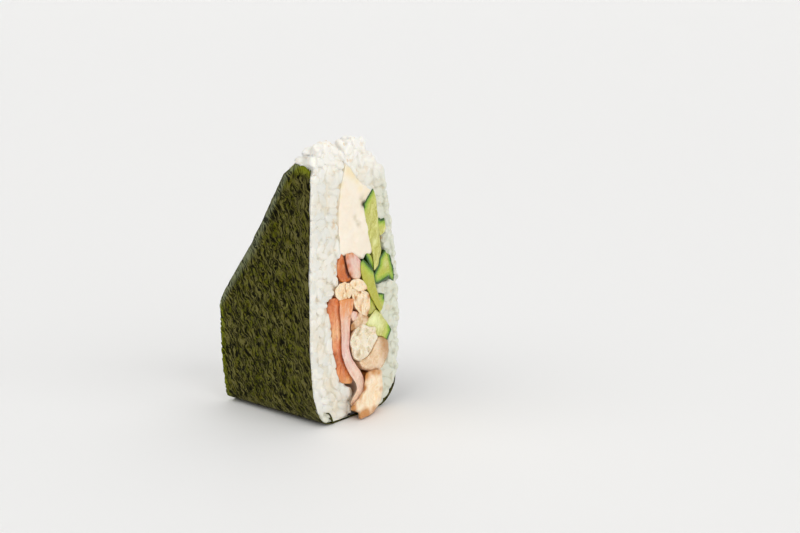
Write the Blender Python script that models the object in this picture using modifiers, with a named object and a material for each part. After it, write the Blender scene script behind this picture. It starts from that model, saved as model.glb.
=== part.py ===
"""Half of a triangular onigiri filled with chicken, bacon, cucumber and cream cheese.

The rice was pressed as a triangle round its filling, wrapped in half a sheet of nori and cut
straight down from its top corner. X runs across the layers, from the front side of the nori to
the back one. Y runs from the cut face into the food, so the cut face looks along -Y. Z is up.
Outlines are in millimetres on the cut face, as (x, z), and everything else is in metres.
"""

import math
import random

import bmesh
import bpy
from mathutils import Matrix, Vector
from mathutils.bvhtree import BVHTree

MM = 0.001
GAP = 0.3 * MM
SEED = 7

# The wrap: half a sheet of nori, a little over 90 mm wide and about 210 mm long, so each half of
# the onigiri has 46 mm of its width. It runs down the front, under the food and up the back.
SHEET_WIDTH = 46.0 * MM
SHEET_THICKNESS = 0.5 * MM
WRAP_PATH = [
    (-20.2, 86.4), (-20.9, 70.0), (-21.4, 52.0), (-21.6, 35.0), (-21.3, 20.0), (-20.1, 9.0),
    (-17.2, 2.4), (-11.5, 0.25), (-1.0, 0.25), (9.0, 0.25), (14.6, 1.4), (18.9, 5.2), (21.2, 11.5),
    (22.0, 24.0), (22.0, 35.0), (21.0, 49.0), (18.7, 62.0), (16.9, 71.0), (15.6, 80.5),
]
PATH_STEPS = 2

# The slanted side of the triangle, where the sheet folds over as a flap from each side.
SLANT_FOOT_Y = 46.0 * MM
SLANT_FOOT_Z = 35.0 * MM
SLANT_RUN = 0.70
FOLD_SHARE = SLANT_RUN / math.hypot(1, SLANT_RUN)
SHEET_REACH = 20.0 * MM
FRONT_FOLD_RADIUS = 1.8 * MM
BACK_FOLD_RADIUS = 0.75 * MM
FACE_COLUMNS = 6
FOLD_COLUMNS = 3
FLAP_COLUMNS = 3
WINDOW_HALF_WIDTH = 17.7 * MM
WINDOW_NARROWING = 1 / (1 / FOLD_SHARE - FOLD_SHARE)
# Above the flaps' top edges, rice shows on the slanted side as on the crown.
FRONT_FLAP_TOP = 89.6 * MM
BACK_FLAP_TOP = 85.0 * MM

# The pressed half is thickest at the cut. Towards its outer edge, what is beyond the flat base's
# half width slims down by this share.
BASE_HALF_WIDTH = 17.0 * MM
SLIMMING = 0.6

# The rice: two pressed layers that meet at a seam round the filling.
SEAM_X = -4.6 * MM
SIDE_OUTLINE = [
    (-1.0, -1.0), (37.0, -1.0), (41.0, 2.5), (43.9, 8.5), (44.9, 17.0), (45.1, 27.0), (44.7, 36.5),
    (11.1, 84.6), (9.4, 88.4), (6.0, 92.0), (-1.0, 93.8),
]
FRONT_CROWN = [(-4.9, 91.0), (-7.0, 92.0), (-11.0, 93.0), (-16.0, 93.4), (-18.8, 91.0)]
BACK_CROWN = [(14.6, 82.2), (11.4, 86.4), (7.8, 89.4), (1.5, 92.6), (-1.9, 92.8), (-4.3, 91.4)]
GRAIN_LENGTH = 6.0 * MM
GRAIN_WIDTH = 2.8 * MM
GRAIN_SIZES = (1.1, 1.0, 0.9, 0.8, 0.7)
GRAIN_SPACING = 3.9 * MM
GRAIN_PROUD = 0.12
# Where grains go: on the cut this shallow, on the crown above this height, and on the outer
# corner above its foot. Rays towards the rice start from this far away, and a grain lies only
# where the rice under its ends and flanks is this level, as the cosine of an angle.
CUT_DEPTH = 1.0 * MM
CROWN_Z = 87.0 * MM
FOOT_Z = 5.0 * MM
REACH = 100.0 * MM
LEVEL = 0.8
FACING = 0.5

# The pocket that the filling takes up. Its back wall leans with the slanted side.
POCKET_DEPTH = 38.0 * MM
POCKET_LEAN = 0.353
POCKET_LEFT = [
    (-4.2, 87.0), (-6.9, 82.8), (-7.9, 75.5), (-8.5, 66.0), (-7.9, 58.6), (-9.2, 53.5), (-8.9, 49.4),
    (-10.2, 46.0), (-11.2, 43.6), (-13.9, 43.4), (-13.3, 37.6), (-12.0, 31.5), (-11.7, 26.0),
    (-10.4, 21.0), (-10.1, 18.0), (-8.3, 12.5), (-2.7, 11.2), (-2.7, 8.4), (-4.4, 5.9), (-3.1, 2.4),
    (-3.1, -2.0),
]
POCKET_RIGHT = [
    (10.6, -2.0), (11.2, 1.2), (12.4, 3.4), (12.7, 9.0), (12.4, 13.0), (15.4, 14.6), (17.4, 19.0),
    (17.3, 22.6), (19.1, 26.4), (16.2, 30.2), (15.1, 33.0), (15.4, 40.4), (12.4, 41.2), (13.0, 43.8),
    (17.0, 44.4), (19.4, 42.2), (19.9, 46.0), (18.2, 53.0), (15.4, 55.8), (13.8, 56.2), (13.2, 60.0),
    (15.5, 61.0), (15.6, 66.8), (12.6, 67.8), (11.4, 72.0), (10.1, 77.3), (8.4, 77.6), (4.0, 74.0),
    (1.3, 79.6), (-1.6, 84.8),
]

# The filling: each piece's outline on the cut face, how far it stands out of the cut, and the
# radius of its edge. A rounded outline is a smooth closed curve through its points.
FILLING = {
    "cream_cheese": dict(
        outline=[(-4.0, 85.6), (-6.6, 81.0), (-7.3, 72.0), (-7.4, 60.5), (-5.8, 57.9), (1.0, 56.8),
                 (3.8, 54.8), (5.2, 55.9), (6.9, 57.0), (5.3, 66.0), (3.6, 72.2), (0.4, 79.6)],
        material="cream_cheese", proud=0.4, edge=1.0, rounded=True),
    "cucumber_1": dict(
        outline=[(8.7, 77.0), (4.4, 72.8), (6.2, 66.0), (8.7, 57.0), (9.4, 49.6), (11.8, 51.0),
                 (13.0, 56.0), (11.6, 65.0), (10.5, 73.0), (9.7, 75.7)],
        material="cucumber", proud=0.7, edge=0.4),
    "cucumber_2": dict(
        outline=[(12.1, 66.6), (14.8, 66.2), (15.0, 62.0), (12.8, 60.8)],
        material="cucumber", proud=0.2, edge=0.3),
    "cucumber_3": dict(
        outline=[(14.9, 55.4), (12.7, 52.8), (12.1, 50.2), (9.7, 47.5), (10.6, 44.4), (16.5, 45.2),
                 (16.9, 49.0), (15.9, 53.6)],
        material="cucumber", proud=0.6, edge=0.4),
    "cucumber_4": dict(
        outline=[(16.2, 54.0), (17.5, 52.6), (19.0, 46.0), (18.9, 43.2), (16.9, 45.2), (17.3, 49.0)],
        material="cucumber", proud=0.3, edge=0.25),
    "cucumber_5": dict(
        outline=[(5.3, 55.0), (7.0, 55.0), (8.6, 51.8), (8.7, 50.4), (8.4, 50.2)],
        material="cucumber", proud=0.0, edge=0.25),
    "cucumber_6": dict(
        outline=[(4.0, 54.0), (3.0, 52.6), (3.1, 49.6), (4.6, 45.6), (9.1, 38.8), (12.3, 34.2),
                 (13.5, 35.4), (11.2, 40.6), (9.2, 47.2), (8.7, 49.2)],
        material="cucumber", proud=1.0, edge=0.4),
    "cucumber_7": dict(
        outline=[(6.1, 42.7), (7.6, 39.6), (7.3, 35.2), (8.2, 34.2), (10.4, 35.5), (8.7, 38.6)],
        material="cucumber", proud=0.0, edge=0.25),
    "cucumber_8": dict(
        outline=[(11.6, 40.7), (14.8, 39.8), (14.7, 36.0), (14.1, 35.6), (12.6, 38.5)],
        material="cucumber", proud=0.0, edge=0.25),
    "cucumber_9": dict(
        outline=[(10.2, 35.0), (7.6, 33.2), (5.2, 31.4), (7.2, 30.0), (10.1, 29.0), (11.2, 26.1),
                 (13.4, 25.4), (16.2, 23.6), (18.4, 26.5), (15.6, 29.8), (12.5, 33.2)],
        material="cucumber", proud=0.5, edge=0.4),
    "bacon_1": dict(
        outline=[(-6.8, 57.4), (-8.5, 53.4), (-8.2, 50.4), (-6.6, 48.1), (-4.0, 47.6), (-3.4, 48.8),
                 (-4.9, 52.4), (-5.6, 56.4)],
        material="bacon_edge", proud=0.0, edge=0.4, rounded=True),
    "bacon_2": dict(
        outline=[(-4.2, 56.2), (-1.0, 56.1), (2.3, 53.2), (2.4, 50.0), (1.7, 47.8), (-0.6, 48.1),
                 (-2.6, 50.4), (-4.0, 53.6)],
        material="bacon", proud=0.7, edge=0.6, rounded=True),
    "bacon_3": dict(
        outline=[(-13.3, 42.8), (-10.9, 42.0), (-8.3, 41.2), (-7.9, 37.0), (-7.6, 28.0), (-7.1, 22.0),
                 (-3.2, 14.4), (-2.5, 12.6), (-5.4, 12.6), (-7.6, 13.6), (-9.5, 18.4), (-10.6, 23.4),
                 (-11.3, 29.6), (-12.4, 36.4)],
        material="bacon_edge", proud=0.2, edge=0.4),
    "bacon_4": dict(
        outline=[(-7.3, 41.0), (-1.2, 39.2), (-2.4, 35.0), (-3.0, 29.0), (-4.0, 24.6), (-3.0, 20.6),
                 (0.6, 18.0), (2.2, 15.2), (3.7, 11.5), (4.0, 7.8), (2.0, 5.8), (-1.8, 3.6),
                 (-3.4, 5.6), (-0.2, 8.4), (0.7, 11.6), (-1.6, 12.6), (-4.6, 18.2), (-6.9, 24.8),
                 (-7.0, 33.0)],
        material="bacon", proud=1.2, edge=0.5),
    "bacon_5": dict(
        outline=[(-1.4, 36.3), (0.6, 36.0), (0.2, 34.4), (-1.1, 33.8)],
        material="bacon", proud=0.4, edge=0.25),
    "chicken_1": dict(
        outline=[(-8.0, 47.2), (-5.2, 46.9), (-4.8, 44.6), (-4.3, 42.2), (-6.0, 41.8), (-7.8, 42.4),
                 (-9.4, 45.0)],
        material="chicken", proud=0.6, edge=0.5, rounded=True),
    "chicken_2": dict(
        outline=[(-4.2, 46.6), (-2.6, 45.9), (-1.8, 44.0), (-2.2, 42.0), (-3.4, 41.8), (-4.0, 44.0)],
        material="chicken", proud=0.9, edge=0.35, rounded=True),
    "chicken_3": dict(
        outline=[(-1.9, 46.4), (-0.6, 47.2), (1.6, 46.9), (3.6, 45.0), (5.2, 43.3), (4.5, 43.1),
                 (1.4, 44.2)],
        material="chicken", proud=0.8, edge=0.35, rounded=True),
    "chicken_4": dict(
        outline=[(-0.6, 43.9), (2.6, 42.6), (5.3, 41.2), (6.7, 40.0), (6.8, 37.0), (6.0, 34.9),
                 (3.4, 36.7), (0.8, 38.2), (-0.4, 41.2)],
        material="chicken", proud=0.7, edge=0.6, rounded=True),
    "chicken_5": dict(
        outline=[(2.4, 36.3), (4.7, 34.2), (6.2, 33.0), (4.2, 31.9), (1.6, 32.0), (0.4, 33.6),
                 (1.2, 35.2)],
        material="chicken_browned", proud=0.3, edge=0.4, rounded=True),
    "chicken_6": dict(
        outline=[(-1.6, 29.6), (1.2, 31.0), (4.0, 31.2), (7.0, 29.3), (9.7, 28.4), (10.4, 25.8),
                 (8.6, 22.6), (5.2, 19.7), (1.6, 19.3), (-1.0, 20.8), (-2.6, 25.2)],
        material="chicken_breast", proud=1.6, edge=0.9, rounded=True),
    "chicken_7": dict(
        outline=[(12.2, 24.8), (14.4, 24.0), (16.6, 21.6), (16.5, 18.6), (14.6, 15.2), (10.0, 14.0),
                 (6.0, 14.4), (2.8, 16.4), (1.8, 18.2), (5.2, 19.0), (8.4, 21.4), (10.8, 24.4)],
        material="chicken_browned", proud=1.0, edge=0.9, rounded=True),
    "chicken_8": dict(
        outline=[(4.2, 13.2), (7.6, 13.4), (10.8, 13.0), (11.6, 9.0), (11.4, 5.0), (9.8, 2.6), (6.8, 1.9),
                 (4.2, 1.4), (0.8, 1.4), (-0.4, 2.4), (3.6, 5.4), (4.8, 8.2)],
        material="chicken", proud=4.2, edge=1.3, rounded=True),
}

# The bottom piece of chicken slumps out of the cut. Past this far in front of it, each millimetre
# outwards moves the piece this far to the left, and pulls its foot down and its top up.
SLUMP = "chicken_8"
SLUMP_START = 2.0 * MM
SLUMP_LEFT = 1.13
SLUMP_DOWN = 0.5
SLUMP_MIDDLE = 7.0 * MM

# Each surface: base colour, roughness and metallic value.
FINISHES = {
    "nori": ((0.045, 0.055, 0.012), 0.55, 0.0),
    "rice": ((0.80, 0.79, 0.72), 0.45, 0.0),
    "cream_cheese": ((0.88, 0.78, 0.62), 0.40, 0.0),
    "cucumber": ((0.52, 0.58, 0.12), 0.35, 0.0),
    "bacon": ((0.78, 0.48, 0.42), 0.40, 0.0),
    "bacon_edge": ((0.62, 0.16, 0.05), 0.42, 0.0),
    "chicken": ((0.80, 0.52, 0.27), 0.50, 0.0),
    "chicken_breast": ((0.84, 0.72, 0.50), 0.55, 0.0),
    "chicken_browned": ((0.58, 0.34, 0.15), 0.45, 0.0),
}

TO_CUT_FACE = Matrix(((1, 0, 0, 0), (0, 0, -1, 0), (0, 1, 0, 0), (0, 0, 0, 1)))
TO_SIDE = Matrix(((0, 0, 1, 0), (1, 0, 0, 0), (0, 1, 0, 0), (0, 0, 0, 1)))


def clear_scene():
    for obj in list(bpy.data.objects):
        bpy.data.objects.remove(obj)


def new_collection(name):
    collection = bpy.data.collections.new(name)
    bpy.context.scene.collection.children.link(collection)
    return collection


def finish_material(name):
    """The Principled material of one surface, made once."""
    made = bpy.data.materials.get(name)
    if made is None:
        colour, roughness, metallic = FINISHES[name]
        made = bpy.data.materials.new(name)
        made.use_nodes = True
        shader = made.node_tree.nodes["Principled BSDF"]
        shader.inputs["Base Color"].default_value = (*colour, 1.0)
        shader.inputs["Roughness"].default_value = roughness
        shader.inputs["Metallic"].default_value = metallic
    return made


def object_from_bmesh(bm, name, collection):
    mesh = bpy.data.meshes.new(name)
    bm.to_mesh(mesh)
    bm.free()
    obj = bpy.data.objects.new(name, mesh)
    collection.objects.link(obj)
    return obj


def evaluated_mesh(obj):
    """A new mesh of the object with its modifiers, or its curve, worked out."""
    graph = bpy.context.evaluated_depsgraph_get()
    return bpy.data.meshes.new_from_object(obj.evaluated_get(graph))


def smooth_path(points, steps):
    """A Catmull-Rom curve through the points, with that many steps a span."""
    ends = [2 * points[0] - points[1], *points, 2 * points[-1] - points[-2]]
    path = []
    for before, start, end, after in zip(ends, ends[1:], ends[2:], ends[3:]):
        for step in range(steps):
            t = step / steps
            path.append(0.5 * (2 * start + (end - before) * t
                               + (2 * before - 5 * start + 4 * end - after) * t ** 2
                               + (3 * start - before - 3 * end + after) * t ** 3))
    return [*path, points[-1]]


def wrap_path():
    """The middle of the nori's thickness on the cut face, kept flat where the food rests."""
    points = [Vector(point) * MM for point in WRAP_PATH]
    rest = SHEET_THICKNESS / 2
    return [Vector((point.x, max(point.y, rest))) for point in smooth_path(points, PATH_STEPS)]


def inset_path(path, distance):
    """The path moved that far into the food, to its left as it runs down, under and up."""
    moved = []
    for i, point in enumerate(path):
        along = (path[min(i + 1, len(path) - 1)] - path[max(i - 1, 0)]).normalized()
        moved.append(point + distance * Vector((-along.y, along.x)))
    return moved


def prism(name, outline, placement, low, high, collection, edge=0.0, rounded=False):
    """An outline extruded from low to high along the axis that its plane doesn't have.

    It is a filled 2D curve. An edge radius rounds both ends and keeps the outline's size.
    """
    curve = bpy.data.curves.new(name, "CURVE")
    curve.dimensions = "2D"
    curve.fill_mode = "BOTH"
    curve.extrude = (high - low) / 2 - edge
    curve.bevel_depth = edge
    curve.bevel_resolution = 0 if edge < 0.5 * MM else 1
    curve.offset = -edge
    curve.resolution_u = 2
    spline = curve.splines.new("BEZIER" if rounded else "POLY")
    if rounded:
        spline.bezier_points.add(len(outline) - 1)
        for handle, (a, b) in zip(spline.bezier_points, outline):
            handle.co = (a, b, 0)
            handle.handle_left_type = handle.handle_right_type = "AUTO"
    else:
        spline.points.add(len(outline) - 1)
        for point, (a, b) in zip(spline.points, outline):
            point.co = (a, b, 0, 1)
    spline.use_cyclic_u = True
    outline_object = bpy.data.objects.new(name + "_outline", curve)
    collection.objects.link(outline_object)
    bm = bmesh.new()
    bm.from_mesh(evaluated_mesh(outline_object))
    bpy.data.objects.remove(outline_object)
    bmesh.ops.remove_doubles(bm, verts=bm.verts, dist=0.01 * MM)
    bmesh.ops.dissolve_limit(bm, angle_limit=math.radians(0.5), verts=bm.verts, edges=bm.edges)
    along = placement.to_3x3() @ Vector((0, 0, 1))
    middle = abs((low + high) / 2 * along.dot(Vector((1, 1, 1))))
    shift = Vector(abs(part) for part in along) * math.copysign(middle, low + high)
    bmesh.ops.transform(bm, matrix=Matrix.Translation(shift) @ placement, verts=bm.verts)
    bmesh.ops.recalc_face_normals(bm, faces=bm.faces)
    return object_from_bmesh(bm, name, collection)


def pocket_back(z):
    """How deep the filling goes at a height."""
    return POCKET_DEPTH - POCKET_LEAN * z


def lean_the_back(obj, clearance):
    """Moves the back end of a straight piece onto the leaning back wall of the pocket."""
    back = max(vertex.co.y for vertex in obj.data.vertices)
    for vertex in obj.data.vertices:
        if vertex.co.y > back / 2:
            vertex.co.y = pocket_back(vertex.co.z) - clearance - (back - vertex.co.y)


def dome_the_front(obj, rise):
    """Raises the middle of the flat front end, so that the cut piece swells a little."""
    bm = bmesh.new()
    bm.from_mesh(obj.data)
    front = min(vertex.co.y for vertex in bm.verts)
    caps = [face for face in bm.faces if all(abs(v.co.y - front) < 0.01 * MM for v in face.verts)]
    bmesh.ops.inset_region(bm, faces=caps, thickness=rise, depth=rise / 2)
    bm.to_mesh(obj.data)
    bm.free()


def slump_out(obj):
    """Leans what stands far out of the cut to the left, and stretches it downwards and upwards."""
    bm = bmesh.new()
    bm.from_mesh(obj.data)
    geometry = [*bm.verts, *bm.edges, *bm.faces]
    bmesh.ops.bisect_plane(bm, geom=geometry, plane_co=(0, -SLUMP_START, 0), plane_no=(0, 1, 0))
    for vertex in bm.verts:
        past = max(-SLUMP_START - vertex.co.y, 0)
        vertex.co.x -= SLUMP_LEFT * past
        vertex.co.z -= SLUMP_DOWN * past * (1 - vertex.co.z / SLUMP_MIDDLE)
    bm.to_mesh(obj.data)
    bm.free()


def filling_piece(name, outline, material, proud, edge, collection, rounded=False):
    """One piece of the filling, from just outside the cut to the back wall of the pocket."""
    scaled = [(x * MM, z * MM) for x, z in outline]
    obj = prism(name, scaled, TO_CUT_FACE, -proud * MM, POCKET_DEPTH, collection, edge * MM, rounded)
    lean_the_back(obj, GAP)
    if rounded:
        dome_the_front(obj, 0.6 * edge * MM)
    if name == SLUMP:
        slump_out(obj)
    obj.data.materials.clear()
    obj.data.materials.append(finish_material(material))
    return obj


def slant_y(z):
    """Where the slanted side is at a height. Below its foot the sheet has its full width."""
    return SLANT_FOOT_Y - SLANT_RUN * (z - SLANT_FOOT_Z)


def side_x(path, z, side):
    """The sheet's X at a height on one side of the wrap: -1 is the front and 1 the back."""
    half = [point for point in path if point.x * side > 0]
    half.sort(key=lambda point: point.y)
    for low, high in zip(half, half[1:]):
        if low.y <= z <= high.y and high.y > low.y:
            return low.x + (high.x - low.x) * (z - low.y) / (high.y - low.y)
    return half[-1].x if z > half[-1].y else half[0].x


def folded_point(path, point, width):
    """Where a point of the flat sheet ends up: on its side, or folded over the slanted side."""
    side = -1 if point.x < 0 else 1
    length = math.hypot(1, SLANT_RUN)
    past = (width - slant_y(point.y)) / length
    if past <= 0:
        return Vector((point.x, width, point.y))
    out_y, out_z = 1 / length, SLANT_RUN / length
    foot_y, foot_z = width - past * out_y, point.y - past * out_z
    radius = FRONT_FOLD_RADIUS if side < 0 else BACK_FOLD_RADIUS
    turn = min(past / radius, math.pi / 2)
    outward = radius * math.sin(turn)
    inward = radius * (1 - math.cos(turn)) + max(0, past - radius * math.pi / 2)
    foot_x = side_x(path, foot_z, side)
    return Vector((foot_x - side * inward, foot_y + outward * out_y, foot_z + outward * out_z))


def sheet_columns(z, side):
    """Distances across the sheet at a height: along the face, round the fold and on the flap."""
    fold = min(slant_y(z), SHEET_WIDTH)
    radius = FRONT_FOLD_RADIUS if side < 0 else BACK_FOLD_RADIUS
    turned = min(fold + radius * math.pi / 2 * math.hypot(1, SLANT_RUN), SHEET_WIDTH)
    stops = [(0, fold, FACE_COLUMNS), (fold, turned, FOLD_COLUMNS), (turned, SHEET_WIDTH, FLAP_COLUMNS)]
    columns = [low + (high - low) * i / count for low, high, count in stops for i in range(count)]
    return [*columns, SHEET_WIDTH]


def make_nori(collection):
    """The nori as an open grid, its rows along the wrap, given its thickness by Solidify."""
    path = wrap_path()
    column_count = FACE_COLUMNS + FOLD_COLUMNS + FLAP_COLUMNS
    bm = bmesh.new()
    bmesh.ops.create_grid(bm, x_segments=column_count, y_segments=len(path) - 1, size=0.5)
    for vertex in bm.verts:
        column = round((vertex.co.x + 0.5) * column_count)
        row = round((vertex.co.y + 0.5) * (len(path) - 1))
        width = sheet_columns(path[row].y, -1 if path[row].x < 0 else 1)[column]
        vertex.co = folded_point(path, path[row], width)
    bmesh.ops.remove_doubles(bm, verts=bm.verts, dist=0.05 * MM)
    bmesh.ops.recalc_face_normals(bm, faces=bm.faces)
    nori = object_from_bmesh(bm, "nori_wrap", collection)
    thickness = nori.modifiers.new("Thickness", "SOLIDIFY")
    thickness.thickness = SHEET_THICKNESS
    thickness.offset = 0
    nori.data.materials.append(finish_material("nori"))
    return nori


def boolean(obj, operation, other=None, collection=None):
    """Joins or cuts with another object, or with all the objects of a collection, and applies it."""
    step = obj.modifiers.new(operation.title(), "BOOLEAN")
    step.operation = operation
    step.solver = "EXACT"
    if collection is None:
        step.object = other
    else:
        step.operand_type = "COLLECTION"
        step.collection = collection
    mesh = evaluated_mesh(obj)
    obj.modifiers.clear()
    obj.data = mesh
    for used in [other] if collection is None else list(collection.objects):
        bpy.data.objects.remove(used)


def rice_core(name, side, collection, cutters):
    """One rice layer without grains: its section on the cut face, the triangle's side and the pocket."""
    inner = inset_path(wrap_path(), SHEET_THICKNESS / 2 + GAP)
    if side < 0:
        skin = [point for point in inner if point.x < SEAM_X - GAP]
        crown = [Vector(point) * MM for point in FRONT_CROWN]
        section = [*skin, Vector((SEAM_X - GAP / 2, inner[len(inner) // 2].y)), *crown]
    else:
        skin = [point for point in inner if point.x > SEAM_X + GAP]
        crown = [Vector(point) * MM for point in BACK_CROWN]
        section = [Vector((SEAM_X + GAP / 2, inner[len(inner) // 2].y)), *skin, *crown]
    core = prism(name, section, TO_CUT_FACE, 0, 50 * MM, collection)
    outline = [(y * MM, z * MM) for y, z in SIDE_OUTLINE]
    boolean(core, "INTERSECT", prism(name + "_side", outline, TO_SIDE, -40 * MM, 40 * MM, cutters))
    pocket = [(x * MM, z * MM) for x, z in POCKET_LEFT + POCKET_RIGHT]
    cutter = prism(name + "_pocket", pocket, TO_CUT_FACE, -10 * MM, POCKET_DEPTH, cutters)
    lean_the_back(cutter, 0)
    boolean(core, "DIFFERENCE", cutter)
    return core


def window_half_width(z):
    """Half the width of the rice that shows on the outer side, which narrows between the flaps."""
    return WINDOW_HALF_WIDTH - WINDOW_NARROWING * max(0.0, z - SLANT_FOOT_Z)


def shows_outside(point):
    """Whether rice at a point of the outer side is bare: below the flaps or above both of them."""
    if point.z < FOOT_Z:
        return False
    front = FRONT_FLAP_TOP - FOLD_SHARE * (point.x + SHEET_REACH)
    back = BACK_FLAP_TOP - FOLD_SHARE * (SHEET_REACH - point.x)
    return abs(point.x) < window_half_width(point.z) or point.z > max(front, back)


def grain_place(tree, hit, normal, across, along, size, rng):
    """A grain's placement lying on the rice at a spot, or None where it would reach past an edge."""
    spin = rng.uniform(0, math.pi)
    lie = across * math.cos(spin) + along * math.sin(spin)
    lie = (lie - normal * lie.dot(normal)).normalized()
    flank = normal.cross(lie)
    length = GRAIN_LENGTH * size
    width = GRAIN_WIDTH * size
    reach = (length / 2 + GAP) * lie, (width / 2 + GAP) * flank
    for tip in (reach[0], -reach[0], reach[1], -reach[1]):
        below, facing, _, _ = tree.ray_cast(hit + tip + normal * width, -normal, 1.5 * width)
        if below is None or facing.dot(normal) < LEVEL:
            return None
    turn = Matrix((lie, flank, normal)).transposed().to_4x4()
    centre = hit + normal * GRAIN_PROUD * width
    return Matrix.Translation(centre) @ turn @ Matrix.Diagonal((length, width, width, 1))


def scatter_grains(core, collection, rng):
    """Lays grains on what shows of a rice layer: the cut face, the crown and the open corner.

    Rays on a jittered grid find the surface. The largest grain is tried first, then shorter ones
    turned another way, and a spot where none fits is left bare.
    """
    tree = BVHTree.FromObject(core, bpy.context.evaluated_depsgraph_get())
    bm = bmesh.new()
    bmesh.ops.create_icosphere(bm, subdivisions=1, radius=0.5)
    grain = bpy.data.meshes.new("grain")
    bm.to_mesh(grain)
    bm.free()
    right, inward, up = Vector((1, 0, 0)), Vector((0, 1, 0)), Vector((0, 0, 1))
    faces = [
        (-inward, right, up, lambda hit: hit.y < CUT_DEPTH),
        (up, right, inward, lambda hit: hit.z > CROWN_Z and hit.y > CUT_DEPTH),
        (inward, right, up, shows_outside),
    ]
    count = int(REACH / GRAIN_SPACING)
    for out, across, along, shows in faces:
        for i in range(-count, count):
            for j in range(-count, count):
                shift = across * (i + rng.uniform(-0.3, 0.3)) + along * (j + rng.uniform(-0.3, 0.3))
                hit, normal, _, _ = tree.ray_cast(shift * GRAIN_SPACING + out * REACH, -out)
                if hit is None or normal.dot(out) < FACING or not shows(hit):
                    continue
                for size in GRAIN_SIZES:
                    place = grain_place(tree, hit, normal, across, along, size, rng)
                    if place is not None:
                        obj = bpy.data.objects.new(f"grain_{len(collection.objects)}", grain)
                        obj.matrix_world = place
                        collection.objects.link(obj)
                        break
    return len(collection.objects)


def keep_outer_shell(obj):
    """Keeps only the largest connected surface, which fills any sealed hollow and drops scraps."""
    bm = bmesh.new()
    bm.from_mesh(obj.data)
    unseen = set(bm.faces)
    shells = []
    while unseen:
        shell = [unseen.pop()]
        for face in shell:
            near = {other for edge in face.edges for other in edge.link_faces} & unseen
            unseen -= near
            shell.extend(near)
        shells.append(shell)
    shells.sort(key=len)
    for shell in shells[:-1]:
        bmesh.ops.delete(bm, geom=shell, context="FACES")
    bm.to_mesh(obj.data)
    bm.free()


def make_rice(name, side, collection, cutters, rng):
    """A rice layer: its core with the grains that show joined on by one union."""
    core = rice_core(name, side, collection, cutters)
    grains = new_collection(name + "_grains")
    print(name, "grains:", scatter_grains(core, grains, rng))
    boolean(core, "UNION", collection=grains)
    bpy.data.collections.remove(grains)
    keep_outer_shell(core)
    core.data.materials.clear()
    core.data.materials.append(finish_material("rice"))
    return core


def slim_outwards(obj, path):
    """Moves each side of a piece inwards, the more the nearer to the outer edge.

    The sheet's distance from the middle at a point's height gives how much there is to slim. The
    nearer a point is to the middle, the less it moves.
    """
    for vertex in obj.data.vertices:
        side = -1 if vertex.co.x < 0 else 1
        excess = max(abs(side_x(path, vertex.co.z, side)) - BASE_HALF_WIDTH, 0)
        outwards = max(vertex.co.y, 0) / SHEET_WIDTH
        share = min(abs(vertex.co.x) / BASE_HALF_WIDTH, 1)
        vertex.co.x -= side * excess * SLIMMING * outwards * share


def centre_on_footprint(pieces):
    """Parents the pieces to one empty, moved so that the origin is under the middle of the box."""
    bpy.context.view_layer.update()
    corners = [obj.matrix_world @ Vector(corner) for obj in pieces for corner in obj.bound_box]
    low = Vector(min(corner[i] for corner in corners) for i in range(3))
    high = Vector(max(corner[i] for corner in corners) for i in range(3))
    root = bpy.data.objects.new("onigiri_half", None)
    pieces[0].users_collection[0].objects.link(root)
    root.location = (-(low.x + high.x) / 2, -(low.y + high.y) / 2, -low.z)
    for obj in pieces:
        obj.parent = root
    print("moved by", [round(value / MM, 3) for value in root.location])
    print("size", [round(value / MM, 2) for value in high - low])


def main():
    clear_scene()
    rng = random.Random(SEED)
    parts = new_collection("Onigiri half")
    cutters = new_collection("Cutters")
    pieces = [make_nori(parts)]
    pieces.append(make_rice("rice_front", -1, parts, cutters, rng))
    pieces.append(make_rice("rice_back", 1, parts, cutters, rng))
    for name, settings in FILLING.items():
        pieces.append(filling_piece(name, collection=parts, **settings))
    for obj in pieces:
        slim_outwards(obj, wrap_path())
    centre_on_footprint(pieces)
    for obj in pieces:
        print(obj.name, "triangles:", sum(len(face.vertices) - 2 for face in obj.data.polygons))


main()
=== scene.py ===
# %% [markdown]
# # Half an onigiri with chicken, bacon, cucumber and cream cheese
#
# The real thing is pressed rice round a filling, wrapped in half a sheet of nori and cut straight
# down. The solids give its true size and the place of every piece. This script dresses them: it
# makes each piece again as a surface worked out with numpy, and gives it a finish.
#
# Shapes are written in millimetres in the cut's own axes: x runs across the layers, y into the
# food from the cut face, and z up. One function turns them into the frame's metres.

# %% Load the solids
import math

import bmesh
import bpy
import numpy as np
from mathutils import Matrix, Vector


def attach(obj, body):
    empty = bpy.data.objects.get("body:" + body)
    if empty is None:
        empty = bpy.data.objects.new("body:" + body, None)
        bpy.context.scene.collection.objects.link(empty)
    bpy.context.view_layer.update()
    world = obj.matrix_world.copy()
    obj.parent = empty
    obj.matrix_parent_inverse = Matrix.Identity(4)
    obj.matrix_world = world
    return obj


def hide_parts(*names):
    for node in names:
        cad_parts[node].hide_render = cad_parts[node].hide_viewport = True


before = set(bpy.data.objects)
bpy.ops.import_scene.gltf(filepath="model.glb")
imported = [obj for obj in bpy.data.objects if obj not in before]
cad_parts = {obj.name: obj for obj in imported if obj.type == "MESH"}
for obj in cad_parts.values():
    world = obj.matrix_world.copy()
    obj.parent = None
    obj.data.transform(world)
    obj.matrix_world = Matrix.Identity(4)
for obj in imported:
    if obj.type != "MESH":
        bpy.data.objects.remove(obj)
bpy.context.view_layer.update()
CUT_ORIGIN = np.array([-0.256, -21.209, 0.0])


# %% Millimetres to metres
def to_frame(points):
    """Cut coordinates in millimetres to the frame's metres: add the cut's origin, divide by 1000."""
    return (np.asarray(points, float) + CUT_ORIGIN) / 1000


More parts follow.
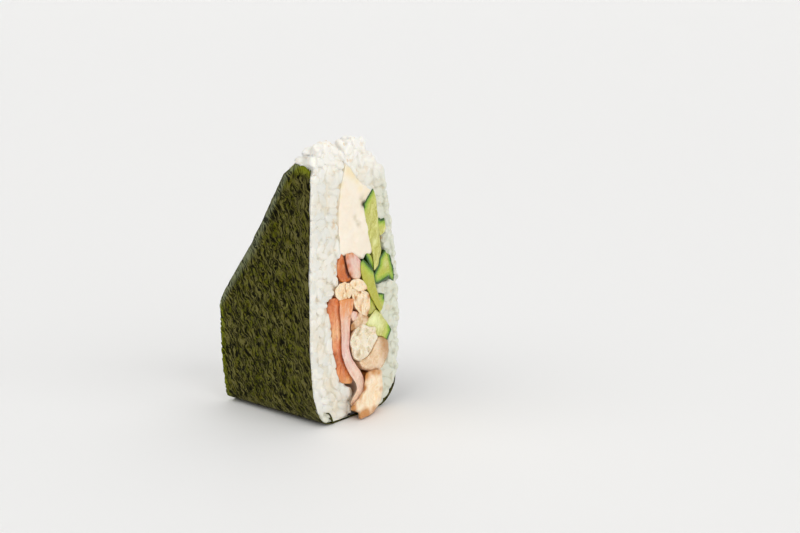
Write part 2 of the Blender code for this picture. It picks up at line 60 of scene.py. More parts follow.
# %% [markdown]
# ## Smooth noise
#
# Nothing in food is straight, so most surfaces get small random bumps. A texture could shade
# them, but only moved vertices change the outline and the shadows. Each corner of a cubic grid
# gets a random number, and a point blends the eight numbers round it. Adding finer copies at half
# the strength gives bumps of many sizes.

# %% Noise on whole arrays
NOISE_TABLE = np.random.default_rng(11).uniform(-1, 1, 8192)
NOISE_PRIMES = np.array([73856093, 19349663, 83492791])


def noise(points, cell, seed=0):
    """Values from -1 to 1 that vary over about one cell: a blend of random numbers at the corners
    of the cell, each weighted by t * t * (3 - 2 * t) along every axis."""
    scaled = np.asarray(points, float) / cell + 31.7 * seed
    base = np.floor(scaled).astype(np.int64)
    t = scaled - base
    t = t * t * (3 - 2 * t)
    total = np.zeros(scaled.shape[:-1])
    for corner in np.ndindex(2, 2, 2):
        corner = np.array(corner)
        key = (base + corner) * NOISE_PRIMES
        key = key[..., 0] ^ key[..., 1] ^ key[..., 2]
        weight = np.where(corner == 1, t, 1 - t).prod(axis=-1)
        total += weight * NOISE_TABLE[key % len(NOISE_TABLE)]
    return total


def layered_noise(points, cell, layers=3, seed=0):
    """Noise plus copies of it, each at half the size and half the strength of the one before."""
    return sum(noise(points, cell / 2 ** i, seed + i) / 2 ** i for i in range(layers))


def smooth_step(low, high, values):
    """0 below low, 1 above high, and t * t * (3 - 2 * t) between them."""
    t = np.clip((np.asarray(values, float) - low) / (high - low), 0, 1)
    return t * t * (3 - 2 * t)


print("noise sample:", np.round(noise(np.eye(3) * 2.5, 1.0), 3))

# %% [markdown]
# ## From arrays to meshes
#
# A surface is a grid of points, so its faces follow from the row and column numbers alone. The
# same helper can close the grid into a tube, and it merges the points that fall together at a
# seam or a pole, so that every piece is closed.


# %% Mesh helpers
def grid_quads(rows, columns, closed=False):
    """The four corner numbers of each cell in a grid, row by row. Closed joins the last column to
    the first."""
    index = np.arange(rows * columns).reshape(rows, columns)
    if closed:
        index = np.hstack([index, index[:, :1]])
    corners = [index[:-1, :-1], index[:-1, 1:], index[1:, 1:], index[1:, :-1]]
    return np.stack(corners, -1).reshape(-1, 4)


def unit(vectors):
    """The vectors divided by their own lengths."""
    return vectors / np.maximum(np.linalg.norm(vectors, axis=-1, keepdims=True), 1e-9)


def grid_normals(points, closed=False):
    """Unit normals of a grid: the cross product of the steps along its columns and its rows."""
    along = np.gradient(points, axis=0)
    if closed:
        across = (np.roll(points, -1, axis=1) - np.roll(points, 1, axis=1)) / 2
    else:
        across = np.gradient(points, axis=1)
    return unit(np.cross(across, along))


def make_piece(name, points, quads, material, attributes=None, uv=None, merge=True):
    """One mesh object from points in cut millimetres and quads, with a value for each point in
    every named attribute. Doubled points are merged and the faces are turned outwards."""
    mesh = bpy.data.meshes.new(name)
    mesh.vertices.add(len(points))
    mesh.vertices.foreach_set("co", to_frame(points).ravel())
    mesh.loops.add(quads.size)
    mesh.loops.foreach_set("vertex_index", quads.ravel())
    mesh.polygons.add(len(quads))
    mesh.polygons.foreach_set("loop_start", np.arange(0, quads.size, 4))
    mesh.update(calc_edges=True)
    for label, values in (attributes or {}).items():
        layer = mesh.attributes.new(label, "FLOAT", "POINT")
        layer.data.foreach_set("value", np.asarray(values, float).ravel())
    if uv is not None:
        layer = mesh.uv_layers.new(name="sheet")
        layer.data.foreach_set("uv", uv.reshape(-1, 2)[quads.ravel()].ravel())
    if merge:
        bm = bmesh.new()
        bm.from_mesh(mesh)
        bmesh.ops.remove_doubles(bm, verts=bm.verts, dist=1e-6)
        bmesh.ops.recalc_face_normals(bm, faces=bm.faces)
        bm.to_mesh(mesh)
        bm.free()
    mesh.shade_smooth()
    mesh.materials.append(material)
    piece = bpy.data.objects.new(name, mesh)
    bpy.context.scene.collection.objects.link(piece)
    print(name, "faces:", len(mesh.polygons))
    return piece


def stand_for(piece, slot, *nodes):
    """The piece rides on the one body and hides the nodes it remakes. The slot is not used."""
    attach(piece, "root")
    if nodes:
        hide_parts(*nodes)
    return piece


# %% [markdown]
# ## Node helpers
#
# A finish is a small graph of shader nodes. These helpers make a material and join its nodes in
# one line each, so a finish reads from top to bottom like a recipe.


# %% Node helpers
class Finish:
    """A material under construction: its node tree, its Principled shader and short ways to add
    and join nodes."""

    def __init__(self, name, tree=None):
        if tree is None:
            self.material = bpy.data.materials.new(name)
            self.material.use_nodes = True
            tree = self.material.node_tree
            self.shader = tree.nodes["Principled BSDF"]
        self.tree = tree

    def add(self, kind, settings=None, **inputs):
        """A node of a kind, with its settings, and each input set to a value or joined to a socket."""
        node = self.tree.nodes.new("ShaderNode" + kind)
        for key, value in (settings or {}).items():
            setattr(node, key, value)
        for key, value in inputs.items():
            self.set(node, key.replace("_", " "), value)
        return node

    def set(self, node, key, value):
        """Joins a socket to a node's input, or sets the input's value."""
        socket = node.inputs[int(key)] if key.isdigit() else node.inputs[key]
        if isinstance(value, bpy.types.NodeSocket):
            self.tree.links.new(value, socket)
        else:
            socket.default_value = value

    def sum(self, kind, a, b, clamp=False):
        """A Math node's answer for two values or sockets."""
        node = self.add("Math", {"operation": kind, "use_clamp": clamp})
        self.set(node, "0", a)
        self.set(node, "1", b)
        return node.outputs[0]

    def wobbled(self, value, cloud, amount):
        """A value shifted by a cloudy noise round its middle: value + (cloud - 0.5) * amount."""
        return self.sum("ADD", value, self.sum("MULTIPLY", self.sum("SUBTRACT", cloud, 0.5), amount))

    def blend(self, fac, a, b, kind="MIX"):
        """A mix of two colours by a factor. A colour is a triple or a socket."""
        node = self.add("Mix", {"data_type": "RGBA", "blend_type": kind})
        self.set(node, "0", fac)
        self.set(node, "6", a if isinstance(a, bpy.types.NodeSocket) else (*a, 1))
        self.set(node, "7", b if isinstance(b, bpy.types.NodeSocket) else (*b, 1))
        return node.outputs[2]

    def ramp(self, value, *stops):
        """A colour ramp with (position, colour) stops. A colour may be one grey number."""
        node = self.add("ValToRGB", Fac=value)
        ramp = node.color_ramp
        while len(ramp.elements) < len(stops):
            ramp.elements.new(0.5)
        for element, (position, colour) in zip(ramp.elements, stops):
            element.position = position
            element.color = (*colour, 1) if isinstance(colour, tuple) else (colour, colour, colour, 1)
        return node.outputs[0]

    def noise(self, vector, scale, detail=3.0, roughness=0.55):
        """A noise texture's value."""
        node = self.add("TexNoise", Vector=vector, Scale=scale, Detail=detail, Roughness=roughness)
        return node.outputs["Fac"]

    def attribute(self, name):
        """One of the piece's own values, as stored at its points."""
        return self.add("Attribute", {"attribute_name": name}).outputs["Fac"]

    def cut_place(self):
        """Object coordinates in centimetres with the cut face as the first two axes."""
        parts = self.add("SeparateXYZ", Vector=self.add("TexCoord").outputs["Object"])
        swapped = self.add("CombineXYZ", X=parts.outputs["X"], Y=parts.outputs["Z"], Z=parts.outputs["Y"])
        scaled = self.add("VectorMath", {"operation": "SCALE"}, Vector=swapped.outputs[0], Scale=100.0)
        return scaled.outputs[0]

    def strands(self, place, turn, fineness, stretch):
        """The shared group for strands, laid along one direction of a place."""
        return self.add("Group", {"node_tree": strands}, Coordinates=place, Turn=turn, Fineness=fineness,
                        Stretch=stretch)

    def bump(self, height, strength, distance, normal=None):
        """A bump's normal from a height."""
        node = self.add("Bump", Height=height, Strength=strength, Distance=distance)
        if normal is not None:
            self.set(node, "Normal", normal)
        return node.outputs["Normal"]

    def shade(self, **inputs):
        """Sets or joins the Principled shader's inputs."""
        for key, value in inputs.items():
            if isinstance(value, tuple) and len(value) == 3 and key.endswith(("Color", "Tint")):
                value = (*value, 1)
            self.set(self.shader, key.replace("_", " "), value)
        return self.material


# %% [markdown]
# ## The nori
#
# One rectangular sheet runs down the front, under the food and up the back. On the slanted side
# of the triangle it is wider than the food, so each side folds over as a flap and the front flap
# lies on the back one. A sheet like this is a function of two lengths: how far a point is along
# the wrap and how far across the sheet. Folding only changes where those lengths lead, so the
# sheet keeps its size. Its edges are torn a little, and the whole sheet is crinkled.

# %% The wrap's path
WRAP_POINTS = np.array([
    (-20.0, 89.6), (-20.2, 86.4), (-20.9, 70.0), (-21.4, 52.0), (-21.6, 35.0), (-21.3, 20.0),
    (-20.1, 9.0), (-17.2, 2.4), (-11.5, 0.25), (-1.0, 0.25), (9.0, 0.25), (14.6, 1.4), (18.9, 5.2),
    (21.2, 11.5), (22.0, 24.0), (22.0, 35.0), (21.0, 49.0), (18.7, 62.0), (16.9, 71.0), (15.6, 80.5)])
TOP_SPARE = 3.2
SHEET_WIDTH = 46.0
SHEET_THICKNESS = 0.25


def lengths(line):
    """How far along a line each of its points is: the running sum of the steps between them."""
    return np.concatenate([[0], np.cumsum(np.linalg.norm(np.diff(line, axis=0), axis=1))])


def evenly(line, count):
    """Points at equal distances along a line."""
    length = lengths(line)
    even = np.linspace(0, length[-1], count)
    return np.stack([np.interp(even, length, line[:, i]) for i in range(line.shape[1])], -1)


def smooth_curve(points, count):
    """A Catmull-Rom curve through the points, as evenly spaced points. Each span blends its two
    ends and their slopes by cubic weights of t."""
    points = np.asarray(points, float)
    ring = np.vstack([2 * points[0] - points[1], points, 2 * points[-1] - points[-2]])
    spans = len(ring) - 3
    place = np.linspace(0, spans, spans * 24 + 1)
    span = np.minimum(place.astype(int), spans - 1)
    t = (place - span)[:, None]
    a, b, c, d = (ring[span + i] for i in range(4))
    square, cube = 2 * a - 5 * b + 4 * c - d, 3 * b - a - 3 * c + d
    return evenly(0.5 * (2 * b + (c - a) * t + square * t ** 2 + cube * t ** 3), count)


WRAP_CURVE = smooth_curve(WRAP_POINTS, 800)
WRAP_CURVE[:, 1] = np.maximum(WRAP_CURVE[:, 1], SHEET_THICKNESS)
WRAP_LENGTHS = lengths(WRAP_CURVE)
SHEET_LENGTH = WRAP_LENGTHS[-1] - TOP_SPARE
print("sheet length:", round(SHEET_LENGTH, 1), "mm")

# %% How the sheet slims and folds
BASE_HALF_WIDTH = 17.0
SLIMMING = 0.6
SLANT_FOOT = (46.0, 35.0)
SLANT_RUN = 0.70
SLANT_LENGTH = math.hypot(1, SLANT_RUN)
SLANT_SAG = np.array([
    (35, -0.1), (46, -0.4), (58, -1.2), (70, -0.9), (80, 0.3), (84.5, 0.3), (88, -2.0)])
FOLD_RADII = {-1: 1.8, 1: 0.75}


def side_x(z, side):
    """The sheet's x on one side at a height, read off the wrap's path."""
    half = WRAP_CURVE[WRAP_CURVE[:, 0] * side > 0]
    half = half[np.argsort(half[:, 1])]
    return np.interp(z, half[:, 1], half[:, 0])


def own_side_x(x, z):
    """The sheet's x at a height, on the side that each x is on."""
    return np.where(x < 0, side_x(z, -1), side_x(z, 1))


def slimmed(x, y, z):
    """x after the pressed half slims towards its outer edge, in proportion to y and to how far the
    side stands out beyond the flat base."""
    side = np.where(x < 0, -1, 1)
    excess = np.maximum(np.abs(own_side_x(x, z)) - BASE_HALF_WIDTH, 0)
    share = np.minimum(np.abs(x) / BASE_HALF_WIDTH, 1)
    return x - side * excess * SLIMMING * np.clip(y, 0, None) / SHEET_WIDTH * share


def slant_y(z):
    """Where the slanted side is at a height: a straight line that sags a little in its middle."""
    sag = np.interp(z, SLANT_SAG[:, 0], SLANT_SAG[:, 1])
    return SLANT_FOOT[0] - SLANT_RUN * (z - SLANT_FOOT[1]) + np.where(z < SLANT_FOOT[1], 0, sag)


def folded_sheet(along, across):
    """Points of the sheet from two lengths in millimetres. Up to the slanted side the sheet lies
    flat. Past it, the rest turns a quarter circle and then runs across the slanted side."""
    x = np.interp(along, WRAP_LENGTHS, WRAP_CURVE[:, 0])
    z = np.interp(along, WRAP_LENGTHS, WRAP_CURVE[:, 1])
    side = np.where(x < 0, -1, 1)
    past = (across - slant_y(z)) / SLANT_LENGTH
    over = np.maximum(past, 0)
    foot_y = across - over / SLANT_LENGTH
    foot_z = z - over * SLANT_RUN / SLANT_LENGTH
    radius = np.where(side < 0, FOLD_RADII[-1], FOLD_RADII[1])
    angle = np.minimum(over / radius, math.pi / 2)
    outward = radius * np.sin(angle)
    inward = radius * (1 - np.cos(angle)) + np.maximum(over - radius * math.pi / 2, 0)
    x = np.where(past > 0, own_side_x(x, foot_z) - side * inward, x)
    y = foot_y + outward / SLANT_LENGTH
    z = foot_z + outward * SLANT_RUN / SLANT_LENGTH
    return np.stack([slimmed(x, y, z), y, z], -1), past


# %% The sheet with its torn edges and crinkles
SHEET_ROWS = 400
SHEET_COLUMNS = 104


def denser_ends(count, share):
    """Numbers from 0 to 1 that crowd towards both ends: a blend of even steps and a cosine."""
    even = np.linspace(0, 1, count)
    return (1 - share) * even + share * (0.5 - 0.5 * np.cos(np.pi * even))


rows, columns = np.meshgrid(denser_ends(SHEET_ROWS, 0.35), denser_ends(SHEET_COLUMNS, 0.6), indexing="ij")
flat = np.stack([rows * SHEET_LENGTH, columns * SHEET_WIDTH, np.zeros_like(rows)], -1)

to_front_top = rows * SHEET_LENGTH
to_back_top = (1 - rows) * SHEET_LENGTH
torn = 0.5 * layered_noise(flat, 2.6, 3, 5) + 0.5 * noise(flat, 0.8, 9)
raised = 0.4 + 1.3 * smooth_step(0.5, 4.5, flat[..., 1])
along = TOP_SPARE + flat[..., 0]
row_height = np.interp(along, WRAP_LENGTHS, WRAP_CURVE[:, 1])
along = along + (torn - raised) * np.exp(-to_front_top / 3) - torn * np.exp(-to_back_top / 3)
retreat = np.where(rows < 0.5, 0.0, smooth_step(6, 14, row_height)) * (1 - columns)
base_inset = 1.0 * np.exp(-((flat[..., 0] - SHEET_LENGTH / 2) / 40) ** 2)
across = flat[..., 1] + retreat + (torn - base_inset) * columns ** 14
on_front = 1 - smooth_step(0.30, 0.42, rows)
set_back = (1.0 + 0.35 * noise(flat, 6.0, 3) + 0.12 * noise(flat, 1.3, 4)) * on_front
across += (set_back + 0.15 * noise(flat, 5.0, 6)) * (1 - columns) ** 6

sheet_points, past_fold = folded_sheet(along, across)
sheet_normals = grid_normals(sheet_points)
crinkle = 0.16 * layered_noise(flat, 5.0, 2, 21) + 0.10 * layered_noise(flat, 1.7, 2, 22)
crinkle += 0.30 * noise(flat, 17.0, 23) * smooth_step(0, 8, sheet_points[..., 2])
crinkle *= 0.25 + 0.75 * smooth_step(1.0, 5.0, flat[..., 1])
curl = np.exp(-to_front_top / 1.6) * (1 - smooth_step(2, 7, flat[..., 1]))
lift = 0.9 * smooth_step(12, 26, past_fold)
crinkle *= smooth_step(0.2, 3, sheet_points[..., 2])
sheet_points = sheet_points + sheet_normals * crinkle[..., None]
sheet_points[..., 0] += 0.7 * curl
sheet_points[..., 1] += lift / SLANT_LENGTH
sheet_points[..., 2] = np.maximum(sheet_points[..., 2] + lift * SLANT_RUN / SLANT_LENGTH, 0.15)

free_edge = np.minimum.reduce([SHEET_WIDTH - flat[..., 1], flat[..., 1] + 2.6, to_front_top, to_back_top])
# Along the front's fold, widest about 55 mm up, a lighter band is a painted sheen on the folded edge.
painted_sheen_band = np.exp(-((sheet_points[..., 2] - 55) / 10) ** 2) * (rows < 0.5)
crease_and_sheen = np.exp(-(past_fold / (0.9 + 1.0 * painted_sheen_band)) ** 2) * (1 - 0.1 * painted_sheen_band)
inner_crease = np.exp(-((past_fold + 8.5) / 0.7) ** 2) * (rows > 0.5)
print("sheet points:", sheet_points.shape)

# %% A group for strands
def group(name, inputs, outputs):
    """An empty node group with named inputs and outputs, as (kind, name, default)."""
    tree = bpy.data.node_groups.new(name, "ShaderNodeTree")
    for kind, label, value in inputs:
        socket = tree.interface.new_socket(label, in_out="INPUT", socket_type="NodeSocket" + kind)
        if value is not None:
            socket.default_value = value
    for kind, label in outputs:
        tree.interface.new_socket(label, in_out="OUTPUT", socket_type="NodeSocket" + kind)
    return tree, Finish(name, tree), tree.nodes.new("NodeGroupInput"), tree.nodes.new("NodeGroupOutput")


strands, build, given, answer = group(
    "strands",
    [("Vector", "Coordinates", None), ("Float", "Turn", 0.0), ("Float", "Fineness", 10.0),
     ("Float", "Stretch", 5.0)],
    [("Float", "Height"), ("Float", "Tone")])
turned = build.add("VectorRotate", {"rotation_type": "Z_AXIS"}, Vector=given.outputs["Coordinates"],
                   Angle=given.outputs["Turn"])
wobble = build.add("TexNoise", Vector=turned.outputs[0], Scale=3.0, Detail=2.0)
bent = build.add("VectorMath", {"operation": "MULTIPLY_ADD"})
build.set(bent, "0", wobble.outputs["Color"])
build.set(bent, "1", (0.5, 0.5, 0.0))
build.set(bent, "2", turned.outputs[0])
fineness = given.outputs["Fineness"]
shrunk = build.sum("DIVIDE", fineness, given.outputs["Stretch"])
scale = build.add("CombineXYZ", X=shrunk, Y=fineness, Z=fineness)
stretched = build.add("VectorMath", {"operation": "MULTIPLY"})
build.set(stretched, "0", bent.outputs[0])
build.set(stretched, "1", scale.outputs[0])
build.set(answer, "Height", build.noise(stretched.outputs[0], 1.0, 4.0, 0.65))
build.set(answer, "Tone", build.noise(stretched.outputs[0], 0.37, 2.0, 0.5))
print("group:", strands.name)

# %% The nori's finish
nori = Finish("nori")
sheet_place = nori.add("UVMap", {"uv_map": "sheet"}).outputs[0]
coarse = nori.strands(sheet_place, 0.50, 5.6, 3.0).outputs["Height"]
strand = nori.strands(sheet_place, 0.55, 14.0, 5.5).outputs["Height"]
crossed = nori.strands(sheet_place, -0.35, 13.0, 4.5).outputs["Height"]
blotch = nori.noise(sheet_place, 6.0, 4.0, 0.65)
patch = nori.noise(sheet_place, 0.9, 3.0, 0.55)
body = nori.ramp(coarse, (0.43, (0.0075, 0.0070, 0.0012)), (0.52, (0.027, 0.0245, 0.0026)),
                 (0.60, (0.112, 0.100, 0.0064)))
grey_strand = nori.sum("MULTIPLY", nori.ramp(strand, (0.50, 0.0), (0.57, 0.95)),
                       nori.ramp(patch, (0.40, 1.0), (0.62, 0.40)))
body = nori.blend(grey_strand, body, (0.145, 0.130, 0.032))
pale_strand = nori.ramp(crossed, (0.57, 0.0), (0.65, 0.9))
body = nori.blend(pale_strand, body, (0.18, 0.172, 0.022))
green = nori.sum("MULTIPLY", nori.ramp(blotch, (0.50, 0.0), (0.59, 1.0)),
                 nori.ramp(patch, (0.38, 0.25), (0.60, 0.95)))
body = nori.blend(green, body, (0.105, 0.112, 0.0016))
by_cut = nori.ramp(nori.add("SeparateXYZ", Vector=sheet_place).outputs["Y"], (0.1, 0.35), (1.0, 0.0))
body = nori.blend(by_cut, body, (0.135, 0.120, 0.036))
body = nori.blend(nori.ramp(strand, (0.43, 0.97), (0.50, 0.0)), body, (0.0035, 0.0032, 0.0006))
edge_fac = nori.ramp(nori.attribute("free_edge"), (0.10, 1.0), (0.45, 0.0))
lively = nori.ramp(strand, (0.42, 0.05), (0.58, 1.0))
body = nori.blend(nori.sum("MULTIPLY", edge_fac, lively), body, (0.20, 0.23, 0.004))
# Lighter grey-green at the creases: the inner crease on the back is a real crease mark, the band along the fold is
# a painted sheen.
crease_mark_and_sheen = nori.sum("MULTIPLY", nori.attribute("crease_and_sheen"), nori.ramp(strand, (0.40, 0.1), (0.56, 0.85)))
body = nori.blend(crease_mark_and_sheen, body, (0.24, 0.27, 0.17))
height = nori.sum("ADD", coarse, nori.sum("MULTIPLY", nori.sum("ADD", strand, crossed), 0.8))
nori.shade(
    Base_Color=body,
    Roughness=nori.ramp(coarse, (0.4, 0.6), (0.62, 0.34)),
    Specular_IOR_Level=nori.ramp(nori.sum("MAXIMUM", grey_strand, pale_strand), (0.0, 0.02), (0.8, 0.12)),
    Normal=nori.bump(height, 0.55, 0.0004),
)

# %% The nori's mesh
def thicken(piece, thickness):
    """Gives a sheet a thickness in millimetres, half on either side."""
    modifier = piece.modifiers.new("Thickness", "SOLIDIFY")
    modifier.thickness = thickness / 1000
    modifier.offset = 0


# The crease mask holds the real inner crease and the painted sheen along the fold.
nori_piece = make_piece(
    "nori", sheet_points.reshape(-1, 3), grid_quads(SHEET_ROWS, SHEET_COLUMNS), nori.material,
    {"free_edge": np.clip(free_edge / 6, 0, 1), "crease_and_sheen": np.clip(0.8 * crease_and_sheen + inner_crease, 0, 1)},
    flat[..., :2] / 10)
thicken(nori_piece, SHEET_THICKNESS)
stand_for(nori_piece, "nori", "nori_wrap")

# %% The tucked end of the sheet
TUCK_PATH = [(-14.2, 4.4), (-13.4, 3.4), (-12.7, 1.9), (-12.3, 0.4)]
TUCK_Y = (-0.8, 4.0)
TUCK_GRID = (24, 10)
tuck_line = smooth_curve(TUCK_PATH, TUCK_GRID[0])
tuck_y = np.linspace(*TUCK_Y, TUCK_GRID[1])
tuck_flat = np.stack(np.broadcast_arrays(tuck_line[:, None, 0], tuck_y[None], tuck_line[:, None, 1]), -1)
tuck_points = tuck_flat + 0.12 * noise(tuck_flat, 1.2, 12)[..., None] * np.array([1.0, 1.2, 0.3])
tuck = make_piece(
    "nori_tuck", tuck_points.reshape(-1, 3), grid_quads(*TUCK_GRID), nori.material,
    {"free_edge": np.full(TUCK_GRID, 0.5), "crease_and_sheen": np.zeros(TUCK_GRID)}, tuck_flat[..., [2, 1]] / 10)
thicken(tuck, SHEET_THICKNESS * 1.3)
stand_for(tuck, "nori")

# %% [markdown]
# ## The rice
#
# The rice was pressed in two layers with the filling between them, and they meet along a seam
# above it. Each half is a stack of level rings: from the nori along the cut to the pocket, back
# along the pocket's wall, out to the slanted side and home along the nori. Tables give the ring's
# corners at a height. Every point of this core then moves out to the grain that lies over it, so
# core and grains stay one closed surface, as in pressed rice. The knife went through the grains on
# the cut face, so those are levelled, each to a plane of its own.

# %% The two cores
SEAM_X = -4.6
POCKET_BACK = (38.0, -0.353)
RICE_OUTSIDE = np.array([
    (0, 37.0), (2.5, 41), (8.5, 43.9), (17, 44.9), (27, 45.1), (36.5, 44.4), (46, 37.4), (58, 28.2),
    (70, 20.1), (80, 14.2), (84.6, 11.0), (88.4, 9.0), (91, 6.6), (93.2, 3.4)])
RICE_INSIDE = {
    -1: np.array([
        (0, -4.5), (1.6, -3.0), (3.2, -2.5), (5.7, -3.7), (8.2, -0.8), (10.3, -2.1), (11.8, -5.6),
        (13, -7.6), (16.3, -8.1), (20.4, -9.3), (23.4, -10.5), (27.4, -11.3), (32.6, -11.3),
        (38.4, -12.8), (42, -13.3), (43.2, -11.3), (45.2, -9.9), (47.7, -8.5), (53.2, -9), (57.6, -7.1),
        (60.7, -7.5), (65.3, -8.6), (70.7, -7.7), (75.7, -7.4), (81.9, -6.5), (85.9, -4.6), (88, -4.4),
        (90, -5.2), (91.5, -6.6), (93.2, -8.8)]),
    1: np.array([
        (0, 11.0), (1.2, 11.3), (3.4, 12.3), (9, 12.6), (13, 12.4), (14.9, 14.8), (19.4, 17), (23.1, 16.6),
        (26.6, 18.5), (29.7, 15.6), (33.1, 13.1), (36, 14.5), (39.6, 14.7), (41.2, 11.7), (43.6, 12.2),
        (44.3, 17), (45.5, 19.9), (53.9, 16.1), (57, 14.6), (61.3, 15.4), (67.8, 11.6), (73.1, 10.5),
        (76.6, 8.9), (77.5, 5.9), (79.5, 2.9), (82, 0.9), (85.6, -2.4), (88, -4.8), (90, -4.9),
        (91.5, -3.9), (93, -2.0)]),
}
RICE_CROWN = {
    -1: np.array([(84, -19.6), (87, -19.4), (90, -19.0), (92, -17.6), (93.2, -14.8)]),
    1: np.array([(79, 15.2), (82, 14.2), (86.5, 10.8), (89.6, 7.4), (91.6, 4.2), (93, 0.8)]),
}
RICE_TOP = {-1: 91.2, 1: 91.0}
DOME = 2.3
CORE_FOOT = 0.75
CORE_ROWS = 340
CORE_SECTIONS = (62, 10, 6, 10, 64, 24)
NORI_SIDE = 5
CORE_DEPTH = 0.7
CORE_RIM = 1.1
CAP_RINGS = 34


def pocket_back(z):
    """How deep the pocket goes at a height. Its back wall leans with the slanted side."""
    return POCKET_BACK[0] + POCKET_BACK[1] * z


def rice_inside(z, side):
    """x of the pocket's edge on the cut face."""
    return np.interp(z, RICE_INSIDE[side][:, 0], RICE_INSIDE[side][:, 1])


def rice_outside(z, side):
    """x of the rice just inside the nori, and of the bare crown above it."""
    crown = RICE_CROWN[side]
    wrapped = side_x(z, side) - side * 0.75
    return np.where(z < crown[0, 0], wrapped, np.interp(z, crown[:, 0], crown[:, 1]))


def core_grid(side):
    """Rings of points from the foot to the crown, and their outward normals. Each ring runs
    straight between six corners, and along the nori its points crowd towards the cut. The last
    rings close the crown with a dome: they shrink by the cosine of an angle and rise by its
    sine."""
    z = CORE_FOOT + (RICE_TOP[side] - CORE_FOOT) * np.linspace(0, 1, CORE_ROWS) ** 0.96
    outer = rice_outside(z, side)
    inner = rice_inside(z, side)
    back = np.interp(z, RICE_OUTSIDE[:, 0], RICE_OUTSIDE[:, 1])
    wall = np.clip(np.minimum(pocket_back(z), (88 - z) * 2.5), CORE_DEPTH + 0.4, back - 1)
    seam = np.full_like(z, SEAM_X - side * 0.4)
    high = smooth_step(86, 90, z)
    seam = seam * (1 - high) + inner * high
    front = np.full_like(z, CORE_DEPTH)
    round_foot = 1 - smooth_step(0, 4, z)
    corners = np.stack([np.stack(corner, -1) for corner in (
        (outer, front), (inner, front), (inner, wall), (seam, wall), (seam, back), (outer, back - round_foot))], 1)
    ends = np.roll(corners, -1, axis=1)
    parts = []
    for i, count in enumerate(CORE_SECTIONS):
        t = np.linspace(0, 1, count, endpoint=False)[None, :, None]
        if i == NORI_SIDE:
            t = 1 - (1 - t) ** 2.5
        parts.append(corners[:, i, None] * (1 - t) + ends[:, i, None] * t)
    ring = np.concatenate(parts, axis=1)
    from_side, from_cut = side * (outer[:, None] - ring[..., 0]), ring[..., 1] - front[:, None]
    angle = np.pi / 4 * (1 + np.clip(from_side / CORE_RIM, 0, 1) - np.clip(from_cut / CORE_RIM, 0, 1))
    at_rim = ((from_side < CORE_RIM) & (from_cut < CORE_RIM))[..., None]
    centre = np.stack([outer - side * CORE_RIM, front + CORE_RIM], -1)[:, None]
    arc = centre + CORE_RIM * np.stack([side * np.cos(angle), -np.sin(angle)], -1)
    ring = np.where(at_rim, arc, ring)
    grid = np.concatenate([ring, np.broadcast_to(z[:, None, None], (*ring.shape[:2], 1))], -1)
    middle = np.sqrt(np.clip(1 - (grid[..., 0] / outer[:, None]) ** 2, 0, 1))
    low = 1 - smooth_step(42, 58, z)[:, None]
    bulge = (2.2 * middle - 1.4) * low - 0.3 * (1 - low)
    bulge = bulge * smooth_step(0.85, 1.0, grid[..., 1] / back[:, None])
    grid[..., 1] += bulge * smooth_step(0, 10, z)[:, None]
    foot = np.broadcast_to(grid[:1].mean(axis=1, keepdims=True), grid[:1].shape)
    bend = np.linspace(0, np.pi / 2, CAP_RINGS + 1)[1:, None, None]
    top = grid[-1:].mean(axis=1, keepdims=True)
    cap = top + (grid[-1:] - top) * np.cos(bend) + np.array([0, 0, DOME]) * np.sin(bend)
    grid = np.concatenate([foot, grid, cap])
    normal = grid_normals(grid, closed=True)
    normal *= np.sign(np.median(np.sum(normal * (grid - grid.mean(axis=(0, 1))), axis=-1)))
    normal[-2:] = (0, 0, 1)
    on_cut = 1 - smooth_step(0.5, 3, grid[..., 1])
    bumps = (0.45 - 0.33 * on_cut) * layered_noise(grid, 5.0, 2, 31 + side) + 0.12 * noise(grid, 1.6, 33)
    bumps[[0, -1]] = 0
    grid = grid + normal * bumps[..., None]
    return grid, normal


CORES = {side: core_grid(side) for side in (-1, 1)}
print("core rings:", {side: pair[0].shape for side, pair in CORES.items()})

# %% Ways to place grains
def frames(normals, rng, tilt):
    """Random right-angled axes: the first lies roughly along the surface, the third roughly along
    its normal."""
    up = unit(normals + rng.normal(0, tilt, normals.shape))
    first = unit(np.cross(up, rng.normal(0, 1, normals.shape)))
    return np.stack([first, np.cross(up, first), up], 1)


def spread(lines, distance, most):
    """The numbers of the lines that keep a distance from every line kept before. A line is a few
    points, and the distance between two lines is the smallest between their points."""
    kept = []
    places = np.empty((most, *lines.shape[1:]))
    for number, line in enumerate(lines):
        if len(kept) == most:
            break
        apart = places[:len(kept), :, None] - line
        if not kept or np.min(np.sum(apart ** 2, axis=-1)) > distance ** 2:
            places[len(kept)] = line
            kept.append(number)
    return np.array(kept)


ALONG_GRAIN = np.array([-0.65, 0, 0.65])[None, :, None]
print("grain frame:", frames(np.array([[0, -1.0, 0]]), np.random.default_rng(1), 0.0).round(2).tolist())

# %% Grains grow out of the core
LEVEL_SOFTNESS = 0.05
GRAIN_BLEND = 0.035
TALLEST = 3.0
RINGS_AT_ONCE = 5
GRAIN_REACH = 4.5
UNCUT = -9.0


